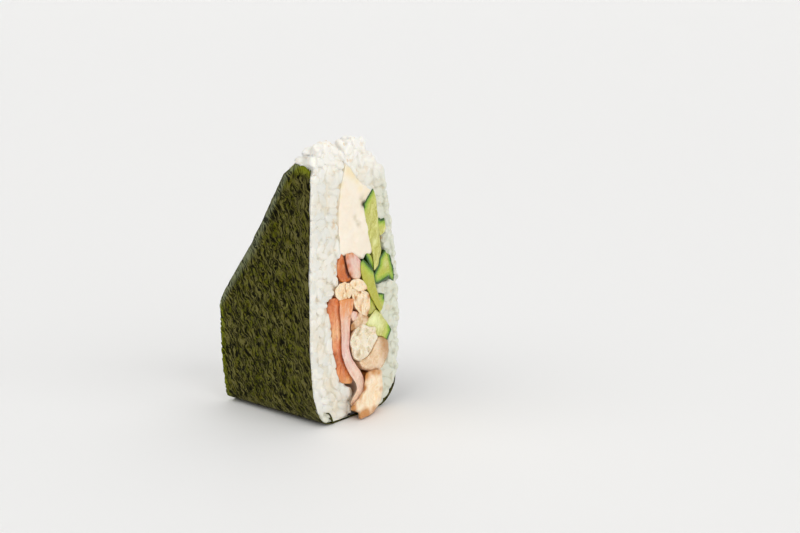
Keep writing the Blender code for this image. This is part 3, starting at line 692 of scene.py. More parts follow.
def grown(grid, normal, grains):
    """Moves every point of the core along its normal n to the outermost grain over it.

    A grain is an ellipsoid. In its own axes, divided by its half sizes, the point is u and the
    normal v, and the grain's surface is at the larger answer t of |u + t v| = 1. A grain that the
    knife cut stops softly at its own plane. Neighbours are joined by a soft maximum, the
    logarithm of the sum of exponentials. Each grain also has a tone of its own, from -1 to 1.
    """
    centres, axes, sizes, planes = grains
    tones = noise(centres, 0.37, 3)
    squash = axes / sizes[:, :, None]
    grown_grid = grid.copy()
    tone = np.zeros(grid.shape[:2])
    for start in range(0, len(grid), RINGS_AT_ONCE):
        rings = slice(start, start + RINGS_AT_ONCE)
        place, out = grid[rings].reshape(-1, 3), normal[rings].reshape(-1, 3)
        near = np.abs(centres[:, 2] - place[:, 2].mean()) < GRAIN_REACH + np.ptp(place[:, 2]) / 2
        u = np.einsum("nij,pnj->pni", squash[near], place[:, None] - centres[near])
        v = np.einsum("nij,pj->pni", squash[near], out)
        a, b, c = np.maximum(np.sum(v * v, -1), 1e-6), np.sum(u * v, -1), np.sum(u * u, -1) - 1
        root = b * b - a * c
        t = (np.sqrt(np.maximum(root, 0)) - b) / a
        t = TALLEST * np.tanh(t / TALLEST)
        limit = (place[:, 1:2] - planes[near]) / np.maximum(-out[:, 1:2], 0.35)
        t = limit - LEVEL_SOFTNESS * np.logaddexp(0, (limit - t) / LEVEL_SOFTNESS)
        t = np.where(root > 0, t, -9)
        total = np.sum(np.exp(t / GRAIN_BLEND), 1)
        winner = np.where(t.max(axis=1) > 0, tones[near][t.argmax(axis=1)], 0)
        tone[rings] = winner.reshape(tone[rings].shape)
        grown_grid[rings] += (out * (GRAIN_BLEND * np.log1p(total))[:, None]).reshape(grid[rings].shape)
    return grown_grid, tone


CUT_CANDIDATES = 24000
WHOLE_CANDIDATES = 9000
MOST_GRAINS = 400


def cut_grains(side, rng, distance, depth, planes):
    """Grains on the cut face, as deep as the two depths given, each cut at its own plane.
    Candidates are spread over the face, and one may stay where both its ends are on the rice."""
    count = CUT_CANDIDATES
    z = rng.uniform(0.9, 94.5, count)
    share = rng.uniform(0, 1, count)
    outer = rice_outside(np.minimum(z, RICE_TOP[side]), side)
    x = outer + share * (rice_inside(z, side) - outer)
    turn = rng.uniform(0, np.pi, count)
    half = rng.uniform(2.1, 3.1, count)
    reach = np.stack([np.cos(turn), np.sin(turn)], -1) * half[:, None]
    fits = np.ones(count, bool)
    for end in (-1, 1):
        end_x = x + end * reach[:, 0]
        end_z = z + end * reach[:, 1]
        out = rice_outside(np.minimum(end_z, RICE_TOP[side]), side)
        fits &= (side * (out - end_x) > -0.3) & (side * (end_x - rice_inside(end_z, side)) > -0.6)
        fits &= end_z > 0.4
    places, reach, half = np.stack([x, z], -1)[fits], reach[fits], half[fits]
    kept = spread(places[:, None] + reach[:, None] * ALONG_GRAIN, distance, MOST_GRAINS)
    places, reach, half = places[kept], reach[kept], half[kept]
    wide = rng.uniform(1.25, 1.5, len(kept))
    first = unit(np.stack([reach[:, 0], rng.normal(0, 0.15, len(kept)) * half, reach[:, 1]], -1))
    third = unit(np.cross(first, np.cross(np.array([0, -1.0, 0]), first)))
    axes = np.stack([first, np.cross(third, first), third], 1)
    centres = np.stack([places[:, 0], rng.uniform(*depth, len(kept)), places[:, 1]], -1)
    cut_at = rng.uniform(*planes, len(kept))
    cut_at -= 0.35 * (places[:, 1] < 15) * rng.uniform(0, 1, len(kept))
    return centres, axes, np.stack([half, wide, wide], -1), cut_at


def whole_grains(side, rng, distance, keep, lift, tilt):
    """Whole grains over the core's own surface, where a test of place and normal says that they
    show. Their centres are lifted off the core by a share between the two given."""
    grid, normal = CORES[side]
    places, outward = grid[1:-1].reshape(-1, 3), normal[1:-1].reshape(-1, 3)
    number = rng.permutation(np.flatnonzero(keep(places, outward)))[:WHOLE_CANDIDATES]
    places, outward = places[number], outward[number]
    axes = frames(outward, rng, tilt)
    long = rng.uniform(2.1, 3.0, len(number))
    kept = spread(places[:, None] + axes[:, :1] * long[:, None, None] * ALONG_GRAIN, distance, MOST_GRAINS)
    sizes = np.stack([long[kept], rng.uniform(1.15, 1.45, len(kept)), rng.uniform(1.0, 1.3, len(kept))], -1)
    centres = places[kept] + outward[kept] * rng.uniform(*lift, len(kept))[:, None]
    return centres, axes[kept], sizes, np.full(len(kept), UNCUT)


def flap_tops(x):
    """How high the flaps reach on the slanted side: their top edges run down towards its middle."""
    return np.maximum(87 - 0.573 * (x + 20), 81 - 0.573 * (16 - x))


def window_edge(z, widest):
    """Half the width of the window between the flaps, which narrows above the slant's foot."""
    return widest + 0.85 * (SLANT_FOOT[1] - z)


def on_crown(side):
    """The test for the crown, which no nori covers. On the slanted side the rice shows further
    down, to the flaps' top edges."""
    def keep(places, outward):
        x, y, z = places.T
        off_seam = (np.abs(x + 5.6) > 1.6) | (y > 6)
        over_front = (z > (85.5 if side < 0 else 80.0)) & (y > 0.9) & off_seam & (outward[:, 1] > -0.8)
        over_front &= np.abs(x - rice_inside(z, side)) > 1.0
        return over_front | ((outward[:, 1] > 0.3) & (z > flap_tops(x)))
    return keep


def in_window(places, outward):
    """The test for the window between the two flaps on the slanted side."""
    x, y, z = places.T
    inside = np.abs(x) < np.minimum(19.6, window_edge(z, 21.5))
    return (outward[:, 1] > 0.35) & (y > 30) & inside & (z > 1.2)


def pressed_inside(points):
    """Flattens rice against the sheet's inside. Below the sheet's top no point lies farther out
    than a third of a millimetre short of it, and above it the rice may bulge again. At the cut it
    may bulge past the sheet's edge, except in a notch below the front's top and at the back's
    foot. Under the flaps it stays inside the slanted side."""
    x, y, z = np.moveaxis(points, -1, 0)
    side = np.where(x < 0, -1, 1)
    limit = np.abs(own_side_x(x, z)) - 0.34 + 1.6 * smooth_step(0, 2.5, z - np.where(x < 0, 87.6, 81.0))
    front_bulge = 0.35 * (1 - smooth_step(0.2, 0.8, y)) + 0.14 * (1 - smooth_step(2, 3.5, y))
    back_bulge = 1.5 * (1 - smooth_step(-0.4, 0.3, y)) * smooth_step(10, 12, z)
    back_foot = 0.6 * (1 - smooth_step(1.5, 3, y)) * (1 - smooth_step(9, 11.5, z))
    covered = smooth_step(-0.5, 1.0, np.abs(x) - window_edge(z, 20.5)) * smooth_step(35, 37, z)
    covered *= 1 - smooth_step(-3, -1, z - flap_tops(x))
    y = np.minimum(y, slant_y(z) - 0.25 + 3 * (1 - covered))
    notch = 1.0 * np.exp(-((z - 86.8) / 1.6) ** 2) * (1 - smooth_step(2, 7, y))
    limit += np.where(x < 0, front_bulge - notch, back_bulge - back_foot)
    return np.stack([side * np.minimum(np.abs(x), limit), y, np.maximum(z, 0.5)], -1)


def rim_grains(side, rng):
    """Grains along one outer edge of the cut. The knife flattened those at the front, and those at
    the back bulge past the nori's edge."""
    count = 44 if side < 0 else 36
    z = np.linspace(*((6, 84) if side < 0 else (13, 79)), count) + rng.uniform(-0.7, 0.7, count)
    deep = rng.uniform(0.9, 1.6, count) if side < 0 else rng.uniform(0.3, 1.6, count)
    centres = np.stack([side_x(z, side) - side * deep, rng.uniform(0.4, 1.0, count), z], -1)
    sizes = np.stack([rng.uniform(*ends, count) for ends in ((1.8, 2.6), (1.2, 1.5), (1.1, 1.35))], -1)
    planes = rng.uniform(-0.3, 0.1, count) if side < 0 else np.full(count, UNCUT)
    return centres, frames(np.tile([0.75 * side, -0.65, 0.0], (count, 1)), rng, 0.3), sizes, planes


FIRST_LAYER = {-1: (1.6, (0.45, 0.9), (-0.38, 0.15)), 1: (1.85, (0.45, 0.9), (-0.55, 0.3))}
SECOND_LAYER = (1.45, (1.3, 1.6), (UNCUT, UNCUT))
grain_rng = np.random.default_rng(5)
RICE = {}
for side in (-1, 1):
    heaps = [
        cut_grains(side, grain_rng, *FIRST_LAYER[side]),
        cut_grains(side, grain_rng, *SECOND_LAYER),
        whole_grains(side, grain_rng, 2.0, on_crown(side), (-0.3, 0.5), 0.35),
        whole_grains(side, grain_rng, 4.2, on_crown(side), (0.5, 1.2), 0.8),
        whole_grains(side, grain_rng, 1.55, in_window, (-0.5, 0.2), 0.25),
        rim_grains(side, grain_rng)]
    fused = tuple(np.concatenate(parts) for parts in zip(*heaps))
    swollen, tone = grown(*CORES[side], fused)
    RICE[side] = (pressed_inside(swollen), tone)
    print("grains:", len(fused[0]))

# %% The rice's finish
rice = Finish("rice")
rice_place = rice.cut_place()
cloud = rice.noise(rice_place, 1.3, 3.0)
tone = rice.attribute("tone")
rice_body = rice.ramp(cloud, (0.40, (0.80, 0.79, 0.735)), (0.52, (0.79, 0.77, 0.69)),
                      (0.66, (0.79, 0.725, 0.60)))
rice_body = rice.blend(rice.ramp(tone, (0.25, 0.5), (0.5, 0.0)), rice_body, (0.72, 0.73, 0.67))
rice_body = rice.blend(rice.ramp(tone, (0.5, 0.0), (0.75, 0.6)), rice_body, (0.88, 0.85, 0.77))
# Painted shade: the grooves between grains are darkened and warmed.
rice_body = rice.blend(rice.sum("MULTIPLY", rice.attribute("painted_groove_shade"), 0.6), rice_body, (0.76, 0.70, 0.56))
# Painted shade with green light bounced from the nori, on the right of the cut face and at its foot.
rice_body = rice.blend(rice.sum("MULTIPLY", rice.attribute("painted_green_shade"), 0.7), rice_body, (0.62, 0.65, 0.52))
# Painted light: the rice grows paler towards the top, where more light falls from above.
rice_body = rice.blend(rice.attribute("crown"), rice_body, (0.93, 0.91, 0.855))
fleck = rice.noise(rice_place, 4.5, 3.0, 0.5)
stain = rice.sum("MULTIPLY", rice.ramp(fleck, (0.60, 0.0), (0.69, 1.0)), rice.attribute("stain"))
rice_body = rice.blend(rice.sum("MULTIPLY", stain, 0.75), rice_body, (0.70, 0.45, 0.19))
rice_grit = rice.noise(rice_place, 20.0, 4.0)
rice.shade(
    Base_Color=rice_body,
    Roughness=rice.ramp(cloud, (0.4, 0.32), (0.65, 0.46)),
    Specular_IOR_Level=0.45,
    Coat_Weight=0.15,
    Coat_Roughness=0.22,
    Subsurface_Weight=0.4,
    Subsurface_Radius=(1.0, 0.85, 0.65),
    Subsurface_Scale=0.0007,
    Normal=rice.bump(rice_grit, 0.25, 0.0002),
)

# %% The rice's meshes
for side, node in ((-1, "rice_front"), (1, "rice_back")):
    rice_grid, tone = RICE[side]
    points = rice_grid.reshape(-1, 3)
    x, y, z = points.T
    # Painted shade with a green cast: on the right part of the cut face below the crown, and low at the left by
    # the tucked nori.
    back_shade = smooth_step(5, 13, x) * smooth_step(88, 70, z) * 0.9
    foot_shade = (1 - smooth_step(2, 7, z)) * (1 - smooth_step(-15, -9, x)) * 0.8
    stained = np.exp(-np.abs(x - rice_inside(z, side)) / 2.5) * smooth_step(30, 60, z) + 0.22
    # A point that moved little off the core lies in a groove between grains, where the groove mask paints shade.
    relief = np.linalg.norm(rice_grid - CORES[side][0], axis=-1).ravel()
    points = np.stack([slimmed(x, y, z), y, z], -1)
    # The crown mask paints light on the top of the rice.
    masks = {"painted_green_shade": np.maximum(back_shade, foot_shade), "stain": np.clip(stained, 0, 1),
             "painted_groove_shade": np.clip(1 - relief / 0.6, 0, 1), "tone": tone * 0.5 + 0.5,
             "crown": 0.75 * smooth_step(80, 90, z)}
    piece = make_piece(node + "_grains", points, grid_quads(*tone.shape, closed=True), rice.material, masks)
    stand_for(piece, "rice", node)

# %% [markdown]
# ## The filling
#
# Every piece of the filling runs from the cut face back to the end of the pocket, so one recipe
# builds them all. An outline on the cut face is split at two tips into a left and a right chain.
# Rows of points span the two chains, and every row closes into a loop: over the front, down the
# right wall, along the back and up the left wall. The front is rounded near the outline by the
# true distance to it, swells in the middle, and carries the piece's own relief.

# %% Distances and chains
def away(points, line):
    """Each point's distance to a line of straight parts: the nearest point on a part is at the
    share t = clamp(dot(p - a, b - a) / dot(b - a, b - a)) along it."""
    line = np.asarray(line, float)
    nearest = np.full(points.shape[:-1], 1e9)
    for a, b in zip(line[:-1], line[1:]):
        step = b - a
        t = np.clip(((points - a) @ step) / max(step @ step, 1e-9), 0, 1)
        nearest = np.minimum(nearest, np.linalg.norm(points - a - t[..., None] * step, axis=-1))
    return nearest


def smooth_chain(points, count, soft):
    """An open chain as evenly spaced points, on a curve through its corners or straight between
    them."""
    points = np.asarray(points, float)
    return smooth_curve(points, count) if soft and len(points) > 2 else evenly(points, count)


def sideways(line):
    """Unit normals of a flat line: its slope turned by a quarter."""
    slope = np.gradient(line, axis=0)
    return unit(np.stack([-slope[:, 1], slope[:, 0]], -1))


GROWTH = 0.36


def two_chains(outline, first, last, rows, soft, growth=GROWTH):
    """The outline split at two of its corners, both parts running from the first to the last. Each
    part moves out along its normal by a small growth, which fades at the two tips, so that the
    pieces press against each other."""
    outline = list(outline)
    ring = outline[first:] + outline[:first]
    end = (last - first) % len(outline)
    chains = [smooth_chain(part, rows, soft) for part in (ring[:end + 1], [ring[0]] + ring[:end - 1:-1])]
    fade = growth * np.sqrt(np.sin(np.linspace(0, np.pi, rows)))[:, None]
    grown_chains = []
    for chain, other in (chains, chains[::-1]):
        normal = sideways(chain)
        normal *= np.sign(np.sum(normal * (chain - other)))
        grown_chains.append(chain + normal * fade)
    return grown_chains


def ribbon_chains(middle, widths, rows):
    """The two edges of a ribbon: the middle line moved both ways along its normal by half a width
    that closes at the tips like a rounded end."""
    line = smooth_curve(middle, rows)
    place = np.linspace(0, 1, rows)
    half = np.interp(place, np.linspace(0, 1, len(widths)), widths) / 2
    tip = np.sqrt(np.clip(1 - (1 - np.clip(np.minimum(place * 60, (1 - place) * 16), 0, 1)) ** 2, 0, 1))
    offset = sideways(line) * (half * tip)[:, None]
    return line + offset, line - offset


def flat_points(places):
    """Places on the cut face as points in space, for the noise."""
    return np.stack([places[..., 0], places[..., 1], places[..., 0] * 0], -1)


def ridges(places, turn, fineness, stretch=4.0, seed=0):
    """Long ridges in one direction: noise on coordinates that are turned, bent a little and
    shrunk along the ridge. Folding the noise at zero makes the grooves narrow."""
    s = places[..., 0] * math.cos(turn) + places[..., 1] * math.sin(turn)
    t = -places[..., 0] * math.sin(turn) + places[..., 1] * math.cos(turn)
    t = t + 0.7 * noise(np.stack([s, t, s * 0], -1), 5.0, seed + 1)
    return np.abs(noise(np.stack([s / stretch, t, s * 0 + seed], -1), fineness, seed)) * 2 - 0.5


print("distance check:", away(np.array([[1.0, 1.0]]), [(0, 0), (2, 0)]))


# %% One recipe for a piece of filling
FRONT_COLUMNS = 44
WALL_STEPS = np.array([0.03, 0.08, 0.16, 0.3, 0.5, 0.75, 0.97])
BACK_COLUMNS = 6
BACK_GAP = 0.3
LEAN_LEFT = 1.13
LEAN_UP = 0.48


def filling_grid(chains, proud, edge, swell, relief, wave=0.0, wander=0.12, seed=0):
    """The closed rows of one piece and each point's place on the cut face.

    proud is how far the front stands out of the cut, edge the radius of its rim, and swell the
    height that the middle gains over the rim. A wave moves the whole front in and out along the
    piece. relief gives the height of the piece's own bumps from places on the cut face. What
    stands out of the cut leans to the left and up, by fixed shares of how far it stands out.
    """
    left, right = chains
    rows = len(left)

    def between(share):
        """Places that lie the given shares of the way from the left chain to the right one."""
        share = share[None, :, None]
        return left[:, None] * (1 - share) + right[:, None] * share

    flat_front = between(np.sin(np.linspace(-np.pi / 2, np.pi / 2, FRONT_COLUMNS)) * 0.5 + 0.5)
    flat_back = between(np.linspace(1, 0, BACK_COLUMNS))
    inside = away(flat_front, np.vstack([left, right[::-1]]))
    rim = np.minimum(inside / edge, 1)
    height = proud - edge + edge * np.sqrt(np.clip(1 - (1 - rim) ** 2, 0, 1))
    height += swell * (1 - np.exp(-inside / 1.5)) + relief(flat_front) * smooth_step(0, 1.2, inside)
    wall_top = -(proud - edge)
    back_y = pocket_back(flat_front[..., 1]) - BACK_GAP
    right_wall = wall_top + (back_y[:, -1:] - wall_top) * WALL_STEPS
    left_wall = (wall_top + (back_y[:, :1] - wall_top) * WALL_STEPS)[:, ::-1]
    places = np.concatenate([
        flat_front, np.repeat(right[:, None], len(WALL_STEPS), 1), flat_back,
        np.repeat(left[:, None], len(WALL_STEPS), 1)], 1)
    y = np.concatenate([-height, right_wall, pocket_back(flat_back[..., 1]) - BACK_GAP, left_wall], 1)
    if np.ndim(wave):
        shift = np.interp(np.linspace(0, 1, rows), np.linspace(0, 1, len(wave)), wave)
        y = y - shift[:, None] * (1 - smooth_step(2, 9, y))
    points = np.stack([places[..., 0], y, places[..., 1]], -1)
    near = 1 - smooth_step(1, 6, y)
    for axis in (0, 2):
        points[..., axis] += wander * layered_noise(points, 2.4, 2, seed + 7 * axis) * near
    out = np.maximum(-points[..., 1], 0)
    points[..., 0] -= LEAN_LEFT * out
    points[..., 2] = np.maximum(points[..., 2] + LEAN_UP * out, 0.45)
    points[..., 0] = slimmed(points[..., 0], points[..., 1], points[..., 2])
    depth = np.concatenate([inside, np.zeros((rows, places.shape[1] - FRONT_COLUMNS))], 1)
    return points, places, depth


def filling_piece(name, slot, finish, grid, masks):
    """A piece's mesh with its masks, standing for the node of the same name."""
    points = grid[0]
    piece = make_piece(
        name + "_piece", points.reshape(-1, 3), grid_quads(*points.shape[:2], closed=True), finish.material,
        {label: np.clip(values, 0, 1) for label, values in masks.items()})
    return stand_for(piece, slot, name)


def soft_spots(places, spots):
    """The sum of soft round spots, each given as (x, z, radius, strength)."""
    return sum(strength * np.exp(-((places[..., 0] - x) ** 2 + (places[..., 1] - z) ** 2) / radius ** 2)
               for x, z, radius, strength in spots)


# %% The cream cheese
CREAM_OUTLINE = [
    (-4.4, 87.9), (-6.2, 82.2), (-7.6, 75.7), (-7.9, 70.7), (-8.0, 65), (-7.6, 60.7), (-6.6, 57.4),
    (-1.6, 56.6), (2.1, 54.6), (4.0, 53.8), (5.5, 55.3), (8.4, 55.6), (8.2, 59.0), (7.2, 62.9), (6.3, 67.3),
    (5.2, 71.0),
    (6.2, 74.2), (8.4, 77.0), (6.4, 78.2), (3.6, 79.8), (1.4, 81.6), (-1.0, 84.2)]
CREAM_SPOTS = [
    (0.2, 68.6, 0.9, -0.75), (1.4, 66.6, 1.0, -0.85), (2.6, 65.4, 0.8, -0.5), (4.3, 72.6, 1.0, -1.1),
    (3.6, 75.0, 1.0, -0.6), (-2.4, 72.5, 2.6, 0.5), (-1.4, 66.5, 2.0, 0.3), (2.4, 60.0, 2.6, 0.5),
    (-4.6, 62.5, 2.2, 0.4), (-2.4, 79.5, 1.8, 0.35)]
CREAM_SAUCE = [
    (6.4, 76.4, 2.0, 0.35), (-3.0, 84.6, 2.0, 0.9), (-0.6, 83.0, 1.5, 0.8), (1.2, 80.6, 1.3, 0.8),
    (2.8, 78.0, 1.2, 0.7), (-6.6, 80.5, 1.3, 0.8), (-7.4, 77.0, 1.2, 0.6), (-7.8, 71.0, 0.9, 0.5)]
# Spots of painted shade in the dents, given as (x, z, radius, strength).
CREAM_DENT_SHADE = [
    (0.1, 68.8, 0.8, 0.5), (0.7, 67.3, 0.7, 0.45), (1.8, 65.9, 0.9, 0.55), (4.4, 72.4, 1.1, 1.2),
    (3.6, 74.6, 1.2, 0.6), (5.2, 70.2, 0.6, 0.6)]


def cream_relief(places):
    """Soft dents and lumps where a spoon and the rice pressed it."""
    return soft_spots(places, CREAM_SPOTS) + 0.22 * layered_noise(flat_points(places), 3.0, 3, 41)


cream = Finish("cream_cheese")
cream_place = cream.cut_place()
cream_cloud = cream.noise(cream_place, 1.6, 3.0)
cream_body = cream.ramp(cream_cloud, (0.35, (0.90, 0.79, 0.64)), (0.65, (0.935, 0.85, 0.72)))
cream_body = cream.blend(cream.attribute("sauce"), cream_body, (0.90, 0.76, 0.48))
# Painted shade: darker grey-beige in the dents.
cream_body = cream.blend(cream.attribute("painted_dent_shade"), cream_body, (0.55, 0.47, 0.31))
cream.shade(
    Base_Color=cream_body,
    Roughness=0.36,
    Coat_Weight=0.2,
    Coat_Roughness=0.2,
    Subsurface_Weight=0.25,
    Subsurface_Radius=(1.0, 0.7, 0.5),
    Subsurface_Scale=0.0012,
    Normal=cream.bump(cream.noise(cream_place, 7.0, 4.0), 0.3, 0.0003),
)
chains = two_chains(CREAM_OUTLINE, 0, 9, 130, True)
grid = filling_grid(chains, 0.35, 0.9, 0.3, cream_relief, wander=0.3, seed=50)
filling_piece("cream_cheese", "cream_cheese", cream, grid,
              {"sauce": soft_spots(grid[1], CREAM_SAUCE), "painted_dent_shade": soft_spots(grid[1], CREAM_DENT_SHADE)})

# %% [markdown]
# ## Cucumber
#
# The cucumber was cut into batons with a strip of skin left on one side. The distance to that
# side colours it: dark skin, a bright green layer under it, and pale juicy flesh. It is stored
# at the points, so the finish only reads it.

# %% Cucumber
CUCUMBERS = {
    "cucumber_1": dict(
        outline=[(8.9, 77.2), (8.0, 76.2), (4.6, 72.4), (5.0, 69.8), (5.9, 65.3), (7.1, 61.0), (8.1, 58.1),
                 (9.0, 55.0), (9.4, 51.9), (9.5, 48.9), (11.8, 50.2), (12.2, 52.4), (13.0, 55.5), (12.2, 59.1),
                 (11.7, 61.9), (11.4, 65.4), (10.9, 69.6), (10.5, 73.1), (9.7, 75.9)],
        tips=(0, 9), proud=0.55, edge=0.35, skin=[(9.0, 77.4), (8.0, 76.4), (4.5, 72.5), (4.5, 71.6)]),
    "cucumber_2": dict(
        outline=[(11.6, 66.0), (12.3, 66.8), (12.9, 66.0), (14.6, 66.0), (15.1, 63.1), (14.8, 61.8),
                 (12.6, 60.5)],
        tips=(1, 6), proud=0.35, edge=0.35, skin=[(11.4, 66.3), (12.3, 66.9), (12.9, 66.1), (14.8, 66.1)]),
    "cucumber_3": dict(
        outline=[(15.1, 55.2), (12.4, 52.8), (11.9, 50.5), (9.3, 47.3), (9.5, 45.3), (10.2, 44.1), (11.9, 44.2),
                 (16.7, 45.2), (17.1, 48.9), (15.8, 53.7)],
        tips=(0, 5), proud=0.7, edge=0.45, deep=0.75,
        skin=[(15.6, 56.0), (15.1, 55.2), (12.4, 52.8), (11.9, 50.5), (9.3, 47.3), (9.5, 45.3), (10.2, 44.1),
              (11.9, 44.2), (16.7, 45.2)]),
    "cucumber_4": dict(
        outline=[(16.1, 53.8), (17.6, 52.6), (19.1, 48.8), (19.8, 45.5), (19.5, 43.2), (18.3, 44.0),
                 (17.1, 45.4), (17.4, 48.8)],
        tips=(0, 4), proud=0.35, edge=0.35,
        skin=[(17.6, 52.8), (19.2, 48.8), (20.0, 45.5), (19.6, 43.0), (18.3, 43.8), (17.1, 45.2)]),
    "cucumber_5": dict(
        outline=[(5.1, 55.2), (6.5, 55.4), (7.9, 54.0), (8.9, 51.7), (8.9, 49.6), (8.3, 49.9)],
        tips=(0, 4), proud=0.1, edge=0.3, skin=[(5.0, 55.0), (8.4, 49.6)]),
    "cucumber_6": dict(
        outline=[(4.0, 53.8), (2.8, 52.8), (2.8, 51.1), (3.0, 49.5), (3.8, 47.4), (4.7, 45.2), (6.3, 42.9),
                 (9.1, 38.8), (10.8, 36.0), (12.4, 33.7), (13.8, 35.2), (12.1, 38.2), (11.1, 40.6), (9.9, 43.8),
                 (9.1, 47.1), (8.7, 49.3)],
        tips=(0, 9), proud=1.15, edge=0.5, deep=0.8, skin=[(2.6, 53.4), (4.0, 54.0), (6.3, 51.8), (8.9, 49.4)]),
    "cucumber_7": dict(
        outline=[(5.4, 42.8), (7.4, 39.5), (7.4, 37.4), (7.1, 35.2), (6.9, 34.0), (8.3, 34.4), (10.2, 35.5),
                 (9.0, 38.0), (7.2, 41.0)],
        tips=(0, 4), proud=0.0, edge=0.3, skin=[(4.6, 43.2), (6.6, 39.5)]),
    "cucumber_8": dict(
        outline=[(11.3, 40.7), (14.6, 39.8), (14.5, 37.7), (14.0, 35.6), (12.5, 38.2)],
        tips=(0, 3), proud=0.0, edge=0.3, skin=[(11.3, 41.0), (14.8, 40.1), (14.7, 38.6)]),
    "cucumber_9": dict(
        outline=[(10.2, 35.0), (7.5, 33.2), (4.9, 31.3), (7.2, 29.9), (10.1, 29.0), (10.7, 26.7), (11.5, 26.0),
                 (13.4, 25.5), (16.2, 23.4), (18.4, 26.5), (15.7, 29.6), (12.4, 33.3)],
        tips=(2, 9), proud=0.6, edge=0.45, skin=[(16.0, 23.0), (18.6, 26.5), (17.8, 27.6)]),
}
SKIN_REACH = 4.0
# Pale spots on the flesh: partly its paler middle, partly a painted highlight.
PALE_CORE_AND_HIGHLIGHT_SPOTS = [
    (9.5, 32.0, 2.2, 0.9), (7.6, 31.2, 1.6, 0.5), (14.9, 50.5, 1.5, 0.5), (9.6, 59.0, 1.4, 0.4),
    (12.2, 29.4, 2.4, 0.6)]


def cucumber_relief(places):
    """Faint ridges that the knife left along the baton, and soft unevenness."""
    return 0.07 * ridges(places, 1.85, 1.1, 6.0, 61) + 0.10 * layered_noise(flat_points(places), 2.6, 2, 62)


cucumber = Finish("cucumber")
cucumber_place = cucumber.cut_place()
rind = cucumber.attribute("rind")
watery = cucumber.noise(cucumber_place, 5.0, 4.0, 0.6)
streak = cucumber.strands(cucumber_place, 1.85, 12.0, 7.0).outputs["Height"]
flesh = cucumber.ramp(streak, (0.38, (0.46, 0.44, 0.075)), (0.52, (0.58, 0.57, 0.15)),
                      (0.66, (0.72, 0.71, 0.27)))
flesh = cucumber.blend(cucumber.attribute("deep"), flesh, (0.44, 0.43, 0.02))
# The core mask is partly paler flesh and partly a painted highlight.
flesh = cucumber.blend(cucumber.attribute("core"), flesh, (0.84, 0.87, 0.45))
wobbled = cucumber.wobbled(rind, watery, 0.16)
under_skin = cucumber.ramp(wobbled, (0.12, (0.10, 0.25, 0.006)), (0.28, (0.26, 0.42, 0.018)),
                           (0.55, (0.48, 0.56, 0.06)))
cucumber_body = cucumber.blend(cucumber.ramp(wobbled, (0.32, 1.0), (0.95, 0.0)), flesh, under_skin)
skin = cucumber.ramp(wobbled, (0.09, 1.0), (0.20, 0.0))
cucumber_body = cucumber.blend(skin, cucumber_body, (0.022, 0.085, 0.003))
cucumber.shade(
    Base_Color=cucumber_body,
    Roughness=cucumber.ramp(watery, (0.4, 0.22), (0.6, 0.36)),
    Coat_Weight=0.3,
    Coat_Roughness=0.12,
    Subsurface_Weight=0.2,
    Subsurface_Radius=(0.7, 1.0, 0.3),
    Subsurface_Scale=0.0012,
    Normal=cucumber.bump(streak, 0.25, 0.0002),
)
for number, (name, spec) in enumerate(CUCUMBERS.items()):
    chains = two_chains(spec["outline"], *spec["tips"], 90, False)
    grid = filling_grid(chains, spec["proud"], spec["edge"], 0.12, cucumber_relief, 0.0, 0.09, 60 + number)
    pale_core_and_highlight = soft_spots(grid[1], PALE_CORE_AND_HIGHLIGHT_SPOTS)
    deep = np.full(pale_core_and_highlight.shape, spec.get("deep", 0.0))
    filling_piece(name, "cucumber", cucumber, grid,
                  {"rind": away(grid[1], spec["skin"]) / SKIN_REACH, "core": pale_core_and_highlight, "deep": deep})

# %% [markdown]
# ## Bacon
#
# Each slice is a ribbon seen on edge: browned red meat outside, pink meat and pale fat in bands
# that follow its length. The place along and across the ribbon is stored at the points.

# %% Bacon
BACON = {
    "bacon_1": dict(
        outline=[(-6.6, 58.0), (-7.7, 55.7), (-8.7, 53.5), (-8.4, 51.1), (-7.3, 48.8), (-5.2, 47.5),
                 (-2.6, 47.9), (-3.2, 49.4), (-4.5, 52.3), (-5.4, 55.6)],
        slot="bacon_edge", proud=0.3, edge=0.45, tips=(0, 5)),
    "bacon_2": dict(
        outline=[(-4.4, 56.6), (-2.6, 57.0), (-0.9, 56.6), (2.4, 53.4), (2.6, 50.4), (2.6, 48.3), (1.8, 47.4),
                 (-0.5, 47.9), (-2.5, 49.8), (-3.9, 52.8)],
        slot="bacon", proud=0.9, edge=0.7, tips=(1, 6)),
    "bacon_3": dict(
        outline=[(-12.6, 43.3), (-13.3, 41.0), (-12.3, 36.0), (-11.3, 32.0), (-11.2, 27.0), (-10.4, 23.4),
                 (-9.2, 20.0), (-9.2, 17.6), (-7.4, 13.8), (-5.6, 12.6), (-2.2, 12.4), (-2.6, 15.2),
                 (-4.9, 19.6), (-6.4, 23.4), (-6.4, 27.6), (-6.3, 33.4), (-6.6, 37.2), (-7.0, 42.0)],
        slot="bacon_edge", proud=0.2, edge=0.3, tips=(0, 9)),
    "bacon_5": dict(
        outline=[(-1.5, 36.6), (1.2, 36.1), (0.2, 34.3), (-1.4, 33.5), (-2.0, 34.9)],
        slot="bacon", proud=0.6, edge=0.4, tips=(1, 3)),
}
RIBBON = dict(
    middle=[(-4.1, 41.8), (-4.3, 39.8), (-4.6, 37.4), (-4.9, 33.0), (-4.9, 28.0), (-5.0, 24.2), (-3.3, 19.4),
            (-0.6, 15.6), (1.7, 12.2), (2.4, 9.2), (1.0, 6.6), (-2.4, 4.0)],
    widths=[7.4, 6.6, 4.8, 4.1, 3.9, 3.7, 3.8, 4.0, 4.1, 4.0, 3.7, 3.2], proud=1.1, edge=0.2,
    wave=[-0.1, 0.2, 0.5, 0.2, 0.5, 0.8, 0.5, 0.9, 1.3, 1.2, 0.9])


def bacon_relief(places):
    """Lumps of meat and dips of fat, with fine grain along the slice."""
    return 0.30 * layered_noise(flat_points(places), 2.2, 3, 71) + 0.16 * ridges(places, 1.6, 0.8, 4.0, 72)


